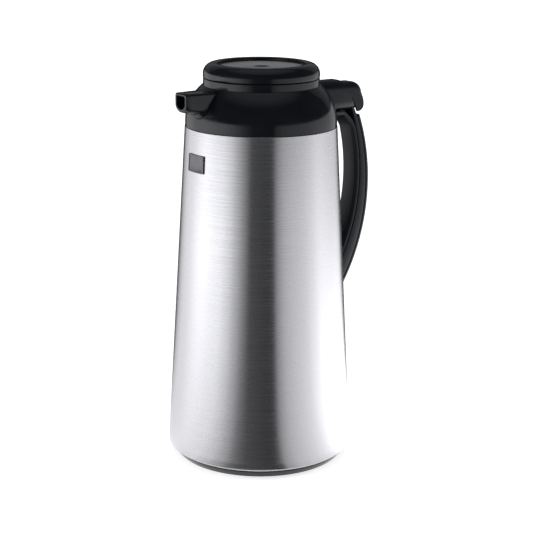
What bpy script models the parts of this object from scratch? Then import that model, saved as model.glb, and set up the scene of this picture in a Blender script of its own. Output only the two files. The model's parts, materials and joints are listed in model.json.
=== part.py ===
"""Thermal pour carafe: steel shell, glass liner, lever-opened stopper and side handle.

The body's axis is the Z axis and the carafe stands on z = 0. The spout points along -X and the
handle along +X. Lengths below are in millimetres; MM turns them into metres.
"""

import math

import bmesh
import bpy
from mathutils import Vector

MM = 0.001
CLEAR = 0.3            # between pieces that rest on each other
RUNNING = 0.12         # between a pin and its hole

# Steel shell: a cone with a rolled foot
SHELL_WALL = 0.8
SHELL_TOP_R, SHELL_TOP_Z = 58.4, 262.6
SHELL_BELLY_R, SHELL_BELLY_Z = 72.5, 13.3
SHELL_FOOT_Z = 7.0
BASE_FOOT_R = 65.6
BASE_BORE_R = 55.5

# Shoulder: a dome that carries the collar, with the neck tube hanging inside it
DOME_ARC_R, DOME_ARC_Z = 35.5, 266.0
DOME_FOOT_R = 58.1
DOME_WALL = 2.0
COLLAR_R, COLLAR_TOP_Z = 44.4, 299.0
COLLAR_FOOT_Z = 293.2
BORE_R, BORE_FLOOR_Z = 41.0, 282.0
TUBE_R, TUBE_WALL, TUBE_END_Z = 29.0, 2.0, 255.3

# Spout
SPOUT_TIP_X = -73.0
SPOUT_HALF_WIDTH, SPOUT_TOP_Z, SPOUT_BOTTOM_Z = 7.7, 292.2, 278.2
SPOUT_WALL = 1.7
PIPE_TOP_Z, PIPE_BOTTOM_Z = 277.9, 264.3
PIPE_HALF_WIDTH = 7.9
PIPE_BEND_X = -44.0

# Glass liner
NECK_R, NECK_TOP_Z, NECK_FOOT_Z = 30.4, 252.2, 241.0
LINER_TOP_R, LINER_TOP_Z = 56.5, 212.0
LINER_LOW_R, LINER_LOW_Z = 63.6, 50.0
LINER_BOTTOM_Z = 18.0
GLASS, VACUUM = 1.6, 3.0
NECK_VACUUM = 2.2

# Lid cap and stopper
CAP_R, CAP_TOP_Z, CAP_EDGE_R = 44.5, 310.0, 8.0
INLAY_R, INLAY_TOP_Z, INLAY_THICK = 32.9, 307.2, 1.5
DIMPLE_R, DIMPLE_DEEP = 6.0, 0.9
LIP_R, LIP_LOW_Z, LIP_TOP_Z = 39.2, 296.3, 298.5
SKIRT_R, SKIRT_WALL, SKIRT_END_Z = 38.9, 1.7, 292.8
LUG_R, LUG_LOW_Z, LUG_TOP_Z = 40.7, 293.2, 295.9
HUB_R, HUB_LOW_Z, HUB_THICK = 36.6, 300.0, 2.0
CUP_R, CUP_FLOOR_Z, CUP_FLOOR = 26.2, 256.0, 2.0
UPPER_SEAL_TOP_Z, UPPER_SEAL_HALF = 280.5, 1.1
FLANGE_R, FLANGE_THICK = 34.5, 2.2
SEAT_R = 10.0
POST_R, POST_CIRCLE_R = 4.0, CUP_R - 8.2
STEM_R, STEM_TOP_Z = 3.0, 292.5
PLATE_R, PLATE_LOW_Z, PLATE_THICK = 38.6, 286.3, 1.7
POUR_LOW_Z, POUR_HIGH_Z, POUR_HALF_WIDTH = 266.0, 276.2, 6.2

# Handle: two arcs in the XZ plane bound its side view
OUTER_ARC_X, OUTER_ARC_Z, OUTER_ARC_R = -50.0, 208.0, 152.0
INNER_ARC_X, INNER_ARC_Z, INNER_ARC_R = -52.0, 216.0, 140.0
HANDLE_HALF_WIDTH = 9.5
GRIP_THICK, COVER_THICK = 3.6, 3.7
BARREL_HALF_WIDTH, BARREL_LOW_Z, BARREL_TOP_Z = 11.0, 268.0, 292.0
BARREL_WALL, BARREL_CORNER_R = 1.8, 7.5

# Thumb lever
PIN_X, PIN_Z, PIN_R = 72.0, 275.0, 1.6
BUTTON_REAR_X, BUTTON_LOW_Z = 94.4, 266.3
ARM_HALF_WIDTH = 3.4
TONGUE_TIP_X, TONGUE_LOW_Z, TONGUE_TOP_Z = 35.6, 283.0, 286.0

SCREW_R, SCREW_HEAD_R, SCREW_HEAD, HOLE_R = 1.5, 2.8, 1.6, 1.8
BRACKET_SCREW_Y, BRACKET_SCREW_Z = 6.7, 274.0
FOOT_SCREW_DEPTHS = (5.25, 10.55)    # how far the handle's frame stands out where each goes in

SHELL_ROUND = 40       # steps round the steel shell and what seats on it
ROUND = 32             # steps round the other large turned pieces
MIDDLE_ROUND = 28
SMALL_ROUND = 24

for leftover in list(bpy.data.objects):
    bpy.data.objects.remove(leftover, do_unlink=True)

carafe = bpy.data.collections.new("thermal_carafe")
cutters = bpy.data.collections.new("cutters")
bpy.context.scene.collection.children.link(carafe)
bpy.context.scene.collection.children.link(cutters)


# ---------------------------------------------------------------- materials

def make_material(name, colour, roughness, metallic=0.0):
    material = bpy.data.materials.new(name)
    material.use_nodes = True
    shader = material.node_tree.nodes["Principled BSDF"]
    shader.inputs["Base Color"].default_value = (*colour, 1.0)
    shader.inputs["Roughness"].default_value = roughness
    shader.inputs["Metallic"].default_value = metallic
    return material


STEEL = make_material("brushed_steel", (0.72, 0.72, 0.73), 0.32, 1.0)
BLACK = make_material("gloss_black", (0.012, 0.014, 0.018), 0.12)
SATIN = make_material("satin_black", (0.02, 0.022, 0.026), 0.4)
GREY = make_material("plate_grey", (0.28, 0.28, 0.29), 0.35, 0.6)
GLASSY = make_material("silvered_glass", (0.8, 0.82, 0.82), 0.05, 0.4)
RUBBER = make_material("silicone", (0.55, 0.55, 0.52), 0.6)
INNER = make_material("inner_plastic", (0.06, 0.06, 0.065), 0.5)
WIRE = make_material("spring_steel", (0.62, 0.62, 0.64), 0.28, 1.0)


# ---------------------------------------------------------------- modelling helpers

def add_object(name, mesh, material):
    """Link a piece, or a cutter when it has no material."""
    piece = bpy.data.objects.new(name, mesh)
    if material is None:
        cutters.objects.link(piece)
        piece.display_type = 'WIRE'
        piece.hide_render = True
    else:
        carafe.objects.link(piece)
        mesh.materials.append(material)
    return piece


def lathe(name, profile, material, ring=True, steps=ROUND):
    """Turn (radius, height) points about Z: a ring, or a body whose ends lie on the axis."""
    points = [(r * MM, 0.0, z * MM) for r, z in profile]
    edges = [(i, i + 1) for i in range(len(points) - 1)]
    if ring:
        edges.append((len(points) - 1, 0))
    mesh = bpy.data.meshes.new(name)
    mesh.from_pydata(points, edges, [])
    piece = add_object(name, mesh, material)
    turn = piece.modifiers.new("turn", 'SCREW')
    turn.axis = 'Z'
    turn.steps = steps
    turn.render_steps = steps
    turn.use_merge_vertices = True
    turn.merge_threshold = 0.00001
    turn.use_smooth_shade = True
    return piece


def loft(name, sections, material):
    """Skin a row of outlines that have the same number of corners, and close both ends."""
    shape = bmesh.new()
    rings = [[shape.verts.new(Vector(p) * MM) for p in section] for section in sections]
    corners = len(rings[0])
    for near, far in zip(rings, rings[1:]):
        for i in range(corners):
            j = (i + 1) % corners
            shape.faces.new((near[i], near[j], far[j], far[i]))
    shape.faces.new(list(reversed(rings[0])))
    shape.faces.new(rings[-1])
    bmesh.ops.recalc_face_normals(shape, faces=shape.faces)
    mesh = bpy.data.meshes.new(name)
    shape.to_mesh(mesh)
    shape.free()
    return add_object(name, mesh, material)


def prism(name, outline, half_width, material):
    """An outline in the XZ plane, thickened both ways along Y."""
    sides = [[(x, y, z) for x, z in outline] for y in (-half_width, half_width)]
    return loft(name, sides, material)


def box(name, low, high, material=None):
    shape = bmesh.new()
    bmesh.ops.create_cube(shape, size=1.0)
    middle = [(a + b) / 2 * MM for a, b in zip(low, high)]
    size = [(b - a) * MM for a, b in zip(low, high)]
    bmesh.ops.scale(shape, vec=size, verts=shape.verts)
    bmesh.ops.translate(shape, vec=middle, verts=shape.verts)
    mesh = bpy.data.meshes.new(name)
    shape.to_mesh(mesh)
    shape.free()
    return add_object(name, mesh, material)


def rod(name, start, end, radius, material=None, steps=16):
    """A straight round bar from start to end."""
    start, end = Vector(start), Vector(end)
    axis = end - start
    shape = bmesh.new()
    bmesh.ops.create_cone(shape, cap_ends=True, segments=steps, radius1=radius * MM,
                          radius2=radius * MM, depth=axis.length * MM)
    turn = Vector((0, 0, 1)).rotation_difference(axis).to_matrix()
    bmesh.ops.rotate(shape, cent=(0, 0, 0), matrix=turn, verts=shape.verts)
    bmesh.ops.translate(shape, vec=(start + end) / 2 * MM, verts=shape.verts)
    mesh = bpy.data.meshes.new(name)
    shape.to_mesh(mesh)
    shape.free()
    return add_object(name, mesh, material)


def screw(name, head_face, tip, material=WIRE):
    """A pan-head screw: its head sits behind head_face, its shaft runs to tip."""
    head_face, tip = Vector(head_face), Vector(tip)
    back = (head_face - tip).normalized() * SCREW_HEAD
    piece = rod(name, head_face + back * 0.5, tip, SCREW_R, material, steps=8)
    head = rod(name + "_head", head_face, head_face + back, SCREW_HEAD_R, steps=12)
    slot_side = back.cross(Vector((0, 1, 0))).normalized() * SCREW_HEAD_R
    middle = head_face + back
    slot = box(name + "_slot",
               [min(a, b) - c for a, b, c in zip(middle - slot_side, middle + slot_side, (0.6,) * 3)],
               [max(a, b) + c for a, b, c in zip(middle - slot_side, middle + slot_side, (0.6,) * 3)])
    join(piece, head)
    cut(piece, slot)
    return piece


def block_round_axis(name, outline, first_deg, last_deg, steps, material=None):
    """Sweep an (radius, height) outline about Z through part of a turn."""
    sections = []
    for i in range(steps + 1):
        angle = math.radians(first_deg + (last_deg - first_deg) * i / steps)
        sections.append([(r * math.cos(angle), r * math.sin(angle), z) for r, z in outline])
    return loft(name, sections, material)


def rectangle(low_r, high_r, low_z, high_z):
    return [(low_r, low_z), (high_r, low_z), (high_r, high_z), (low_r, high_z)]


def add_boolean(piece, tool, operation):
    step = piece.modifiers.new(tool.name, 'BOOLEAN')
    step.operation = operation
    step.solver = 'EXACT'
    step.object = tool


def cut(piece, tool):
    add_boolean(piece, tool, 'DIFFERENCE')


def join(piece, tool):
    add_boolean(piece, tool, 'UNION')


def arc(centre_r, centre_z, radius, first_deg, last_deg, steps):
    """Points on a circular arc in the (radius, height) plane."""
    points = []
    for i in range(steps + 1):
        angle = math.radians(first_deg + (last_deg - first_deg) * i / steps)
        points.append((centre_r + radius * math.cos(angle), centre_z + radius * math.sin(angle)))
    return points


def ellipse(half_width, half_height, centre_z, first_deg, last_deg, steps, centre_r=0.0):
    points = []
    for i in range(steps + 1):
        angle = math.radians(first_deg + (last_deg - first_deg) * i / steps)
        points.append((centre_r + half_width * math.cos(angle),
                       centre_z + half_height * math.sin(angle)))
    return points


def coil(name, radius, wire_r, low_z, high_z, turns, centre_x, material):
    """A compression spring with its axis along Z, its last half turns closed flat."""
    per_turn = 10
    curve = bpy.data.curves.new(name, 'CURVE')
    curve.dimensions = '3D'
    line = curve.splines.new('POLY')
    count = turns * per_turn
    line.points.add(count)
    for i in range(count + 1):
        angle = 2 * math.pi * i / per_turn
        share = min(max((i - per_turn / 2) / (count - per_turn), 0.0), 1.0)
        height = low_z + wire_r + share * (high_z - low_z - 2 * wire_r)
        line.points[i].co = ((centre_x + radius * math.cos(angle)) * MM,
                             radius * math.sin(angle) * MM, height * MM, 1.0)
    curve.bevel_depth = wire_r * MM
    curve.bevel_resolution = 1
    curve.use_fill_caps = True
    curve.render_resolution_u = 0
    piece = bpy.data.objects.new(name, curve)
    carafe.objects.link(piece)
    curve.materials.append(material)
    return piece


# ---------------------------------------------------------------- shared outlines

SHELL_SLOPE = (SHELL_BELLY_R - SHELL_TOP_R) / (SHELL_TOP_Z - SHELL_BELLY_Z)


def shell_r(z):
    """Outer radius of the steel cone."""
    return SHELL_TOP_R + (SHELL_TOP_Z - z) * SHELL_SLOPE


def dome_outline(offset, steps=7):
    """The dome's round side from the collar down to its foot, moved outward by offset."""
    centre_r = DOME_FOOT_R - DOME_ARC_R
    top = math.degrees(math.asin((COLLAR_FOOT_Z - DOME_ARC_Z) / DOME_ARC_R))
    return arc(centre_r, DOME_ARC_Z, DOME_ARC_R + offset, top, 0.0, steps)


def shoulder_cutter(name):
    """The shoulder's outer shape grown by the clearance, for pieces that seat on it."""
    profile = [(0, COLLAR_TOP_Z + 5), (COLLAR_R + CLEAR, COLLAR_TOP_Z + 5),
               (COLLAR_R + CLEAR, COLLAR_FOOT_Z + CLEAR)]
    profile += dome_outline(CLEAR)
    profile += [(DOME_FOOT_R + CLEAR, SHELL_TOP_Z), (0, SHELL_TOP_Z)]
    return lathe(name, profile, None, ring=False)


def shell_cutter(name):
    """The steel cone grown by the clearance."""
    profile = [(0, SHELL_TOP_Z), (shell_r(SHELL_TOP_Z) + CLEAR, SHELL_TOP_Z),
               (shell_r(60.0) + CLEAR, 60.0), (0, 60.0)]
    return lathe(name, profile, None, ring=False, steps=SHELL_ROUND)


# ---------------------------------------------------------------- body

def make_outer_shell():
    """Steel cone, open at both ends, rolled inward at its foot."""
    inner_top = SHELL_TOP_R - SHELL_WALL
    belly_in = SHELL_BELLY_R - SHELL_WALL
    low = SHELL_FOOT_Z
    profile = [(inner_top, SHELL_TOP_Z), (SHELL_TOP_R - 0.3, SHELL_TOP_Z),
               (SHELL_TOP_R, SHELL_TOP_Z - 0.4), (SHELL_BELLY_R, SHELL_BELLY_Z),
               (SHELL_BELLY_R - 0.1, low + 3.0), (SHELL_BELLY_R - 0.6, low + 1.0),
               (SHELL_BELLY_R - 1.6, low + 0.2), (SHELL_BELLY_R - 3.2, low),
               (SHELL_BELLY_R - 4.4, low + 0.2), (SHELL_BELLY_R - 4.4, low + 1.0),
               (SHELL_BELLY_R - 3.0, low + 0.9), (SHELL_BELLY_R - 1.7, low + 1.4),
               (belly_in, low + 3.4), (belly_in, SHELL_BELLY_Z)]
    shell = lathe("outer_shell", profile, STEEL, steps=SHELL_ROUND)
    for z in FOOT_SCREW_ZS:
        cut(shell, rod("shell_hole", (55, 0, z), (75, 0, z), HOLE_R))
    return shell


def make_base():
    """Base ring with the rubber pad it stands on, and the cap that closes the bottom."""
    plug_r = SHELL_BELLY_R - 4.4 - CLEAR
    under = SHELL_FOOT_Z - CLEAR
    bore, pad_low_r, pad_high_r, pad_deep = BASE_BORE_R, 58.5, 64.0, 2.6
    profile = [(bore + 1.5, 15.0), (plug_r - 1.0, 15.0), (plug_r, 14.0), (plug_r, under),
               (SHELL_BELLY_R - 1.9, under), (SHELL_BELLY_R - 2.3, under - 1.3),
               (BASE_FOOT_R + 1.0, 1.6), (BASE_FOOT_R, 0.5), (pad_high_r + CLEAR, 0.5),
               (pad_high_r + CLEAR, pad_deep + CLEAR), (pad_low_r - CLEAR, pad_deep + CLEAR),
               (pad_low_r - CLEAR, 0.5), (bore + 0.6, 0.5), (bore, 1.1), (bore, 9.0),
               (bore - 3.0, 9.0), (bore - 3.0, 11.5), (bore, 12.5)]
    lathe("base_ring", profile, BLACK)
    pad = [(pad_low_r, pad_deep), (pad_high_r, pad_deep), (pad_high_r, 0.4),
           (pad_high_r - 0.6, 0.0), (pad_low_r + 0.6, 0.0), (pad_low_r, 0.4)]
    lathe("foot_pad", pad, RUBBER)
    rim = bore - CLEAR
    cap = [(0, 5.2), (30.0, 5.2), (30.0, 13.0), (32.0, 13.0), (32.0, 5.2), (rim - 2.0, 5.2),
           (rim - 2.0, 8.7), (rim, 8.7), (rim, 3.6), (rim - 1.0, 2.6), (22.0, 2.6), (20.0, 3.4),
           (10.0, 3.4), (9.0, 2.6), (9.0, 0.4), (8.6, 0.0), (0, 0.0)]
    lathe("bottom_cap", cap, BLACK, ring=False)


def liner_wall(depth, neck_r):
    """One of the four glass surfaces, neck to bottom, at a depth below the outermost."""
    top_r, low_r = LINER_TOP_R - depth, LINER_LOW_R - depth
    rise = NECK_FOOT_Z - LINER_TOP_Z - depth
    points = ellipse(top_r - neck_r, rise, LINER_TOP_Z, 90, 0, 3, centre_r=neck_r)
    bottom = ellipse(low_r, LINER_LOW_Z - LINER_BOTTOM_Z - depth, LINER_LOW_Z, 0, -90, 4)
    return points + bottom[:-1], bottom[-1]


def make_liner():
    """Double-walled glass flask. Its vacuum space opens at the tip, which the seal closes."""
    neck_outer = NECK_R
    neck_gap = neck_outer - GLASS
    neck_inner = neck_gap - NECK_VACUUM
    mouth_r = neck_inner - GLASS
    outer, _ = liner_wall(0.0, neck_outer)
    gap_out, gap_low = liner_wall(GLASS, neck_gap)
    gap_in, inner_low = liner_wall(GLASS + VACUUM, neck_inner)
    inside, inside_low = liner_wall(2 * GLASS + VACUUM, mouth_r)
    top = NECK_TOP_Z
    profile = [inside_low] + inside[::-1]
    profile += [(mouth_r, top - 1.0), (mouth_r + 0.8, top), (neck_outer - 0.8, top),
                (neck_outer, top - 1.0)]
    profile += outer
    profile += [(4.0, LINER_BOTTOM_Z - 0.6), (3.2, 12.6), (1.5, 12.0), (1.5, gap_low[1] - 0.4),
                (6.0, gap_low[1])]
    profile += gap_out[::-1]
    profile += [(neck_gap, top - 2.6), (neck_inner, top - 2.6)]
    profile += gap_in + [inner_low]
    lathe("glass_liner", profile, GLASSY, ring=False, steps=SMALL_ROUND)
    seal = [(0, 16.8), (0.8, 16.8), (1.1, 16.2), (1.1, 12.0), (0.6, 11.2), (0, 11.0)]
    lathe("liner_tip_seal", seal, GLASSY, ring=False, steps=8)


def make_liner_mountings():
    """The rubber cup under the liner and the gasket round its lip."""
    cup_r = 30.0 - CLEAR
    cup = [(9.0, 16.0), (16.0, 17.2), (24.0, 19.6), (cup_r, 22.2)]
    seat = [(r, z - 1.0) for r, z in cup]
    profile = seat + [(cup_r, 5.5), (9.0, 5.5)]
    lathe("liner_cushion", profile, RUBBER, steps=SMALL_ROUND)
    lip_r = NECK_R + CLEAR
    top = TUBE_END_Z - CLEAR
    gasket = [(26.0, top), (33.0, top), (33.0, 246.0), (lip_r, 246.0),
              (lip_r, NECK_TOP_Z + CLEAR), (26.0, NECK_TOP_Z + CLEAR)]
    lathe("neck_gasket", gasket, RUBBER, steps=SMALL_ROUND)


def spout_section(x, half_width, low, high):
    """A D outline with a flat top, lying down with its round side below."""
    side = low + min(half_width * 0.75, (high - low) * 0.5)
    corner = min(1.8, half_width * 0.3)
    outline = [(x, half_width, side)]
    outline += [(x, half_width, high - corner),
                (x, half_width - corner * 0.3, high - corner * 0.3),
                (x, half_width - corner, high), (x, -half_width + corner, high),
                (x, -half_width + corner * 0.3, high - corner * 0.3),
                (x, -half_width, high - corner), (x, -half_width, side)]
    for i in range(1, 6):
        angle = math.pi * (1 + i / 6)
        outline.append((x, half_width * math.cos(angle), side + (side - low) * math.sin(angle)))
    return outline


def pipe_sections(grow):
    """The water channel: level inside the shoulder, then rising to the mouth."""
    low, high = PIPE_BOTTOM_Z - grow, PIPE_TOP_Z + grow
    half = PIPE_HALF_WIDTH + grow
    mouth_low = SPOUT_BOTTOM_Z + 0.3 - grow
    mouth_high = SPOUT_TOP_Z - 0.1 + grow
    mouth_half = SPOUT_HALF_WIDTH - 0.2 + grow
    reach = SPOUT_TIP_X - 4.0
    return [spout_section(TUBE_R * -0.9, half, low, high),
            spout_section(PIPE_BEND_X, half, low, high),
            spout_section(SPOUT_TIP_X + 4.0, mouth_half, mouth_low, mouth_high),
            spout_section(reach, mouth_half, mouth_low, mouth_high)]


def pipe_to_dome(name, grow):
    """The pipe as far as just outside the dome."""
    near = pipe_sections(grow)
    stop = -DOME_FOOT_R - 3.0
    share = (stop - PIPE_BEND_X) / (SPOUT_TIP_X + 4.0 - PIPE_BEND_X)
    last = [tuple(a + (b - a) * share for a, b in zip(p, q)) for p, q in zip(near[1], near[2])]
    return loft(name, [near[0], near[1], last], None)


def make_spout():
    """The horn outside the dome and the pipe that joins it to the neck tube."""
    widen, drop = 0.107, 0.27
    sections = []
    for x in (SPOUT_TIP_X, SPOUT_TIP_X + 0.7, -62.0, -50.0, -40.0):
        back = x - SPOUT_TIP_X
        pinch = 0.5 if back == 0 else 0.0
        sections.append(spout_section(x, SPOUT_HALF_WIDTH + widen * back - pinch,
                                      SPOUT_BOTTOM_Z - drop * back + pinch, SPOUT_TOP_Z - pinch))
    spout = loft("spout", sections, BLACK)
    cut(spout, shoulder_cutter("spout_seat"))
    join(spout, pipe_to_dome("spout_pipe", 0.0))
    cut(spout, loft("spout_channel", pipe_sections(-SPOUT_WALL), None))
    neck = rod("spout_neck_clear", (0, 0, 250), (0, 0, 290), TUBE_R + TUBE_WALL + CLEAR, steps=ROUND)
    cut(spout, neck)
    return spout


def make_shoulder():
    dome_centre_r = DOME_FOOT_R - DOME_ARC_R
    inner_arc_r = DOME_ARC_R - DOME_WALL
    bore_out_r = BORE_R + DOME_WALL
    arc_top = math.degrees(math.acos((bore_out_r - dome_centre_r) / inner_arc_r))
    skirt_r = SHELL_TOP_R - SHELL_WALL - CLEAR - 0.1
    skirt_end = SHELL_TOP_Z - 10.0
    under_floor = BORE_FLOOR_Z - DOME_WALL
    tube_out = TUBE_R + TUBE_WALL
    profile = [(BORE_R, COLLAR_TOP_Z), (COLLAR_R - 0.5, COLLAR_TOP_Z),
               (COLLAR_R, COLLAR_TOP_Z - 0.5), (COLLAR_R, COLLAR_FOOT_Z)]
    profile += dome_outline(0.0)
    profile += [(DOME_FOOT_R - 0.1, SHELL_TOP_Z + CLEAR), (skirt_r, SHELL_TOP_Z + CLEAR),
                (skirt_r, skirt_end), (skirt_r - DOME_WALL, skirt_end),
                (skirt_r - DOME_WALL, DOME_ARC_Z - 3.0)]
    profile += arc(dome_centre_r, DOME_ARC_Z, inner_arc_r, 0.0, arc_top, 4)
    profile += [(bore_out_r, under_floor), (tube_out, under_floor), (tube_out, TUBE_END_Z),
                (TUBE_R, TUBE_END_Z), (TUBE_R, BORE_FLOOR_Z), (BORE_R, BORE_FLOOR_Z)]
    shoulder = lathe("shoulder", profile, BLACK)
    for turn in (0, 120, 240):
        lip = block_round_axis("lip", rectangle(LIP_R, BORE_R + 1, LIP_LOW_Z, LIP_TOP_Z),
                               turn - 20, turn + 20, 8)
        stop = block_round_axis("lip_stop", rectangle(LIP_R + 0.2, BORE_R + 1, LUG_LOW_Z, LIP_LOW_Z + 1),
                                turn - 13, turn - 9.5, 2)
        join(shoulder, lip)
        join(shoulder, stop)
    for middle in (82, 98):
        rib = rectangle(FLANGE_R + 0.6, BORE_R + 1, BORE_FLOOR_Z - 1, BORE_FLOOR_Z + 3)
        join(shoulder, block_round_axis("key_rib", rib, middle - 2, middle + 2, 2))
    cut(shoulder, pipe_to_dome("pipe_hole", CLEAR))
    cut(shoulder, box("pour_window", (-TUBE_R - 4, -POUR_HALF_WIDTH, POUR_LOW_Z),
                      (-TUBE_R + 4, POUR_HALF_WIDTH, POUR_HIGH_Z)))
    slot_half = ARM_HALF_WIDTH + 1.0
    cut(shoulder, box("tongue_slot", (BORE_R - 3, -slot_half, BORE_FLOOR_Z + 0.3),
                      (DOME_FOOT_R + 3, slot_half, BARREL_TOP_Z - BARREL_WALL + 0.2)))
    for side in (-1, 1):
        y, z = side * BRACKET_SCREW_Y, BRACKET_SCREW_Z
        cut(shoulder, rod("bracket_hole", (50, y, z), (62, y, z), HOLE_R))
    return shoulder


def make_badge():
    """Plain plate on the steel under the spout."""
    low, high, half_deg = 232.0, 245.3, 9.3
    face = 1.1
    outline = [(shell_r(low) + CLEAR, low), (shell_r(low) + face, low + 0.3),
               (shell_r(high) + face, high - 0.3), (shell_r(high) + CLEAR, high)]
    block_round_axis("badge_plate", outline, 180 - half_deg, 180 + half_deg, 6, GREY)


# ---------------------------------------------------------------- handle

def ray_on_arc(angle, centre_x, centre_z, radius, from_x, from_z):
    """Where a ray from (from_x, from_z) leaves a circle."""
    direction = Vector((math.cos(angle), math.sin(angle)))
    offset = Vector((from_x - centre_x, from_z - centre_z))
    along = offset.dot(direction)
    reach = -along + math.sqrt(along * along - offset.length_squared + radius * radius)
    return from_x + direction.x * reach, from_z + direction.y * reach


HANDLE_EYE_X, HANDLE_EYE_Z = -51.0, 212.0
FRAME_ARC_R = OUTER_ARC_R - COVER_THICK - CLEAR


def handle_points(angle_deg):
    """Inner and outer surface points of the handle's side view on one ray."""
    angle = math.radians(angle_deg)
    eye = (HANDLE_EYE_X, HANDLE_EYE_Z)
    inner = ray_on_arc(angle, INNER_ARC_X, INNER_ARC_Z, INNER_ARC_R, *eye)
    outer = ray_on_arc(angle, OUTER_ARC_X, OUTER_ARC_Z, OUTER_ARC_R, *eye)
    return Vector(inner), Vector(outer)


def handle_section(angle_deg, inside, outside, half_width, round_in, round_out):
    """A rounded rectangle between two depths, measured in from each surface."""
    inner, outer = handle_points(angle_deg)
    out = (outer - inner).normalized()
    low = inner + out * inside
    high = outer - out * outside
    outline = []
    for depth, y in ((0.0, half_width - round_in), (round_in * 0.3, half_width - round_in * 0.3),
                     (round_in, half_width)):
        outline.append(low + out * depth)
        outline[-1] = (outline[-1].x, y, outline[-1].y)
    for depth, y in ((round_out, half_width), (round_out * 0.3, half_width - round_out * 0.3),
                     (0.0, half_width - round_out)):
        point = high - out * depth
        outline.append((point.x, y, point.y))
    return outline + [(x, -y, z) for x, y, z in reversed(outline)]


def frame_back_x(z):
    """Where the handle's frame ends and its cover begins, on the middle plane."""
    return OUTER_ARC_X + math.sqrt(FRAME_ARC_R ** 2 - (z - OUTER_ARC_Z) ** 2)


def frame_stands_out_at(depth):
    """Height, on the handle's foot, at which the frame stands this far out from the shell."""
    low, high = OUTER_ARC_Z - FRAME_ARC_R, OUTER_ARC_Z
    for _ in range(50):
        middle = (low + high) / 2
        if frame_back_x(middle) - shell_r(middle) < depth:
            low = middle
        else:
            high = middle
    return middle


FOOT_SCREW_ZS = [frame_stands_out_at(depth) for depth in FOOT_SCREW_DEPTHS]


def angles(first, last, count):
    return [first + (last - first) * i / (count - 1) for i in range(count)]


def barrel_outline(x, inset, steps=4):
    """The lever housing's rounded section at one x, drawn in by inset."""
    half, low, high = (BARREL_HALF_WIDTH - inset, BARREL_LOW_Z + inset, BARREL_TOP_Z - inset)
    corner = BARREL_CORNER_R - inset
    outline = []
    for y, z, start in ((half - corner, high - corner, 0), (corner - half, high - corner, 90),
                        (corner - half, low + corner, 180), (half - corner, low + corner, 270)):
        for i in range(steps + 1):
            angle = math.radians(start + 90 * i / steps)
            outline.append((x, y + corner * math.cos(angle), z + corner * math.sin(angle)))
    return outline


def make_handle_frame():
    """The barrel that houses the lever and the handle's middle layer, in one moulding."""
    frame = loft("handle_frame", [barrel_outline(44, 0), barrel_outline(100, 0)], SATIN)
    sweep = [handle_section(a, GRIP_THICK + CLEAR, COVER_THICK + CLEAR, HANDLE_HALF_WIDTH, 1.0, 1.0)
             for a in angles(24.6, -43, 14)]
    join(frame, loft("frame_sweep", sweep, None))
    pocket = [handle_section(a, GRIP_THICK + CLEAR + 2.0, COVER_THICK - 2.0, HANDLE_HALF_WIDTH - 2.0,
                             0.5, 0.5) for a in angles(20, -24, 9)]
    cavity = [barrel_outline(40, BARREL_WALL), barrel_outline(104, BARREL_WALL)]
    cut(frame, loft("barrel_cavity", cavity, None))
    for side in (-1, 1):
        low_y, high_y = sorted((side * (BARREL_HALF_WIDTH - 1.0), side * (ARM_HALF_WIDTH + 0.9)))
        join(frame, box("screw_boss", (50, low_y, BARREL_LOW_Z + 1),
                        (66, high_y, BRACKET_SCREW_Z + 4)))
    cut(frame, loft("frame_pocket", pocket, None))
    ring = [(OUTER_ARC_X + 400 * math.cos(a), OUTER_ARC_Z + 400 * math.sin(a))
            for a in [math.radians(d) for d in (-60, -30, 0, 30, 60)]]
    ring += [(OUTER_ARC_X + FRAME_ARC_R * math.cos(math.radians(d)),
              OUTER_ARC_Z + FRAME_ARC_R * math.sin(math.radians(d)))
             for d in angles(60, -60, 61)]
    cut(frame, prism("behind_frame", ring, 20, None))
    cut(frame, shoulder_cutter("frame_seat"))
    cut(frame, shell_cutter("frame_shell_seat"))
    cut(frame, rod("frame_pin_hole", (PIN_X, -BARREL_HALF_WIDTH + 0.6, PIN_Z),
                   (PIN_X, BARREL_HALF_WIDTH - 0.6, PIN_Z), PIN_R + RUNNING))
    for side in (-1, 1):
        y, z = side * BRACKET_SCREW_Y, BRACKET_SCREW_Z
        cut(frame, rod("boss_hole", (52, y, z), (64.6, y, z), HOLE_R))
    for z in FOOT_SCREW_ZS:
        cut(frame, rod("foot_hole", (60, 0, z), (frame_back_x(z) - 0.8, 0, z), HOLE_R))
    return frame


def make_handle_grip():
    """The strip under the fingers. It turns forward below the barrel and ends at the shoulder."""
    ceiling = BARREL_LOW_Z - CLEAR
    half = HANDLE_HALF_WIDTH - 0.4
    corner = 2.6

    def strip_section(point, out):
        low = Vector(point)
        outline = []
        for depth, y in ((0.0, half - corner), (corner * 0.3, half - corner * 0.3),
                         (corner, half), (GRIP_THICK, half)):
            spot = low + out * depth
            outline.append((spot.x, y, spot.y))
        return outline + [(x, -y, z) for x, y, z in reversed(outline)]

    bend_r = 9.0
    start, _ = handle_points(16.5)
    start_out = (start - Vector((INNER_ARC_X, INNER_ARC_Z))).normalized()
    centre = start - start_out * bend_r
    lift = ceiling - GRIP_THICK - bend_r - centre.y
    sections = [strip_section((50.0, ceiling - GRIP_THICK), Vector((0, 1)))]
    first = math.atan2(start_out.y, start_out.x)
    for i in range(6):
        angle = math.pi / 2 + (first - math.pi / 2) * i / 5
        out = Vector((math.cos(angle), math.sin(angle)))
        rise = lift * (1 - i / 5) ** 2
        sections.append(strip_section(centre + out * bend_r + Vector((0, rise)), out))
    for angle in angles(13, -36, 12):
        point, _ = handle_points(angle)
        out = (point - Vector((INNER_ARC_X, INNER_ARC_Z))).normalized()
        sections.append(strip_section(point, out))
    grip = loft("handle_grip", sections, SATIN)
    cut(grip, shoulder_cutter("grip_seat"))
    cut(grip, shell_cutter("grip_shell_seat"))
    return grip


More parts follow.
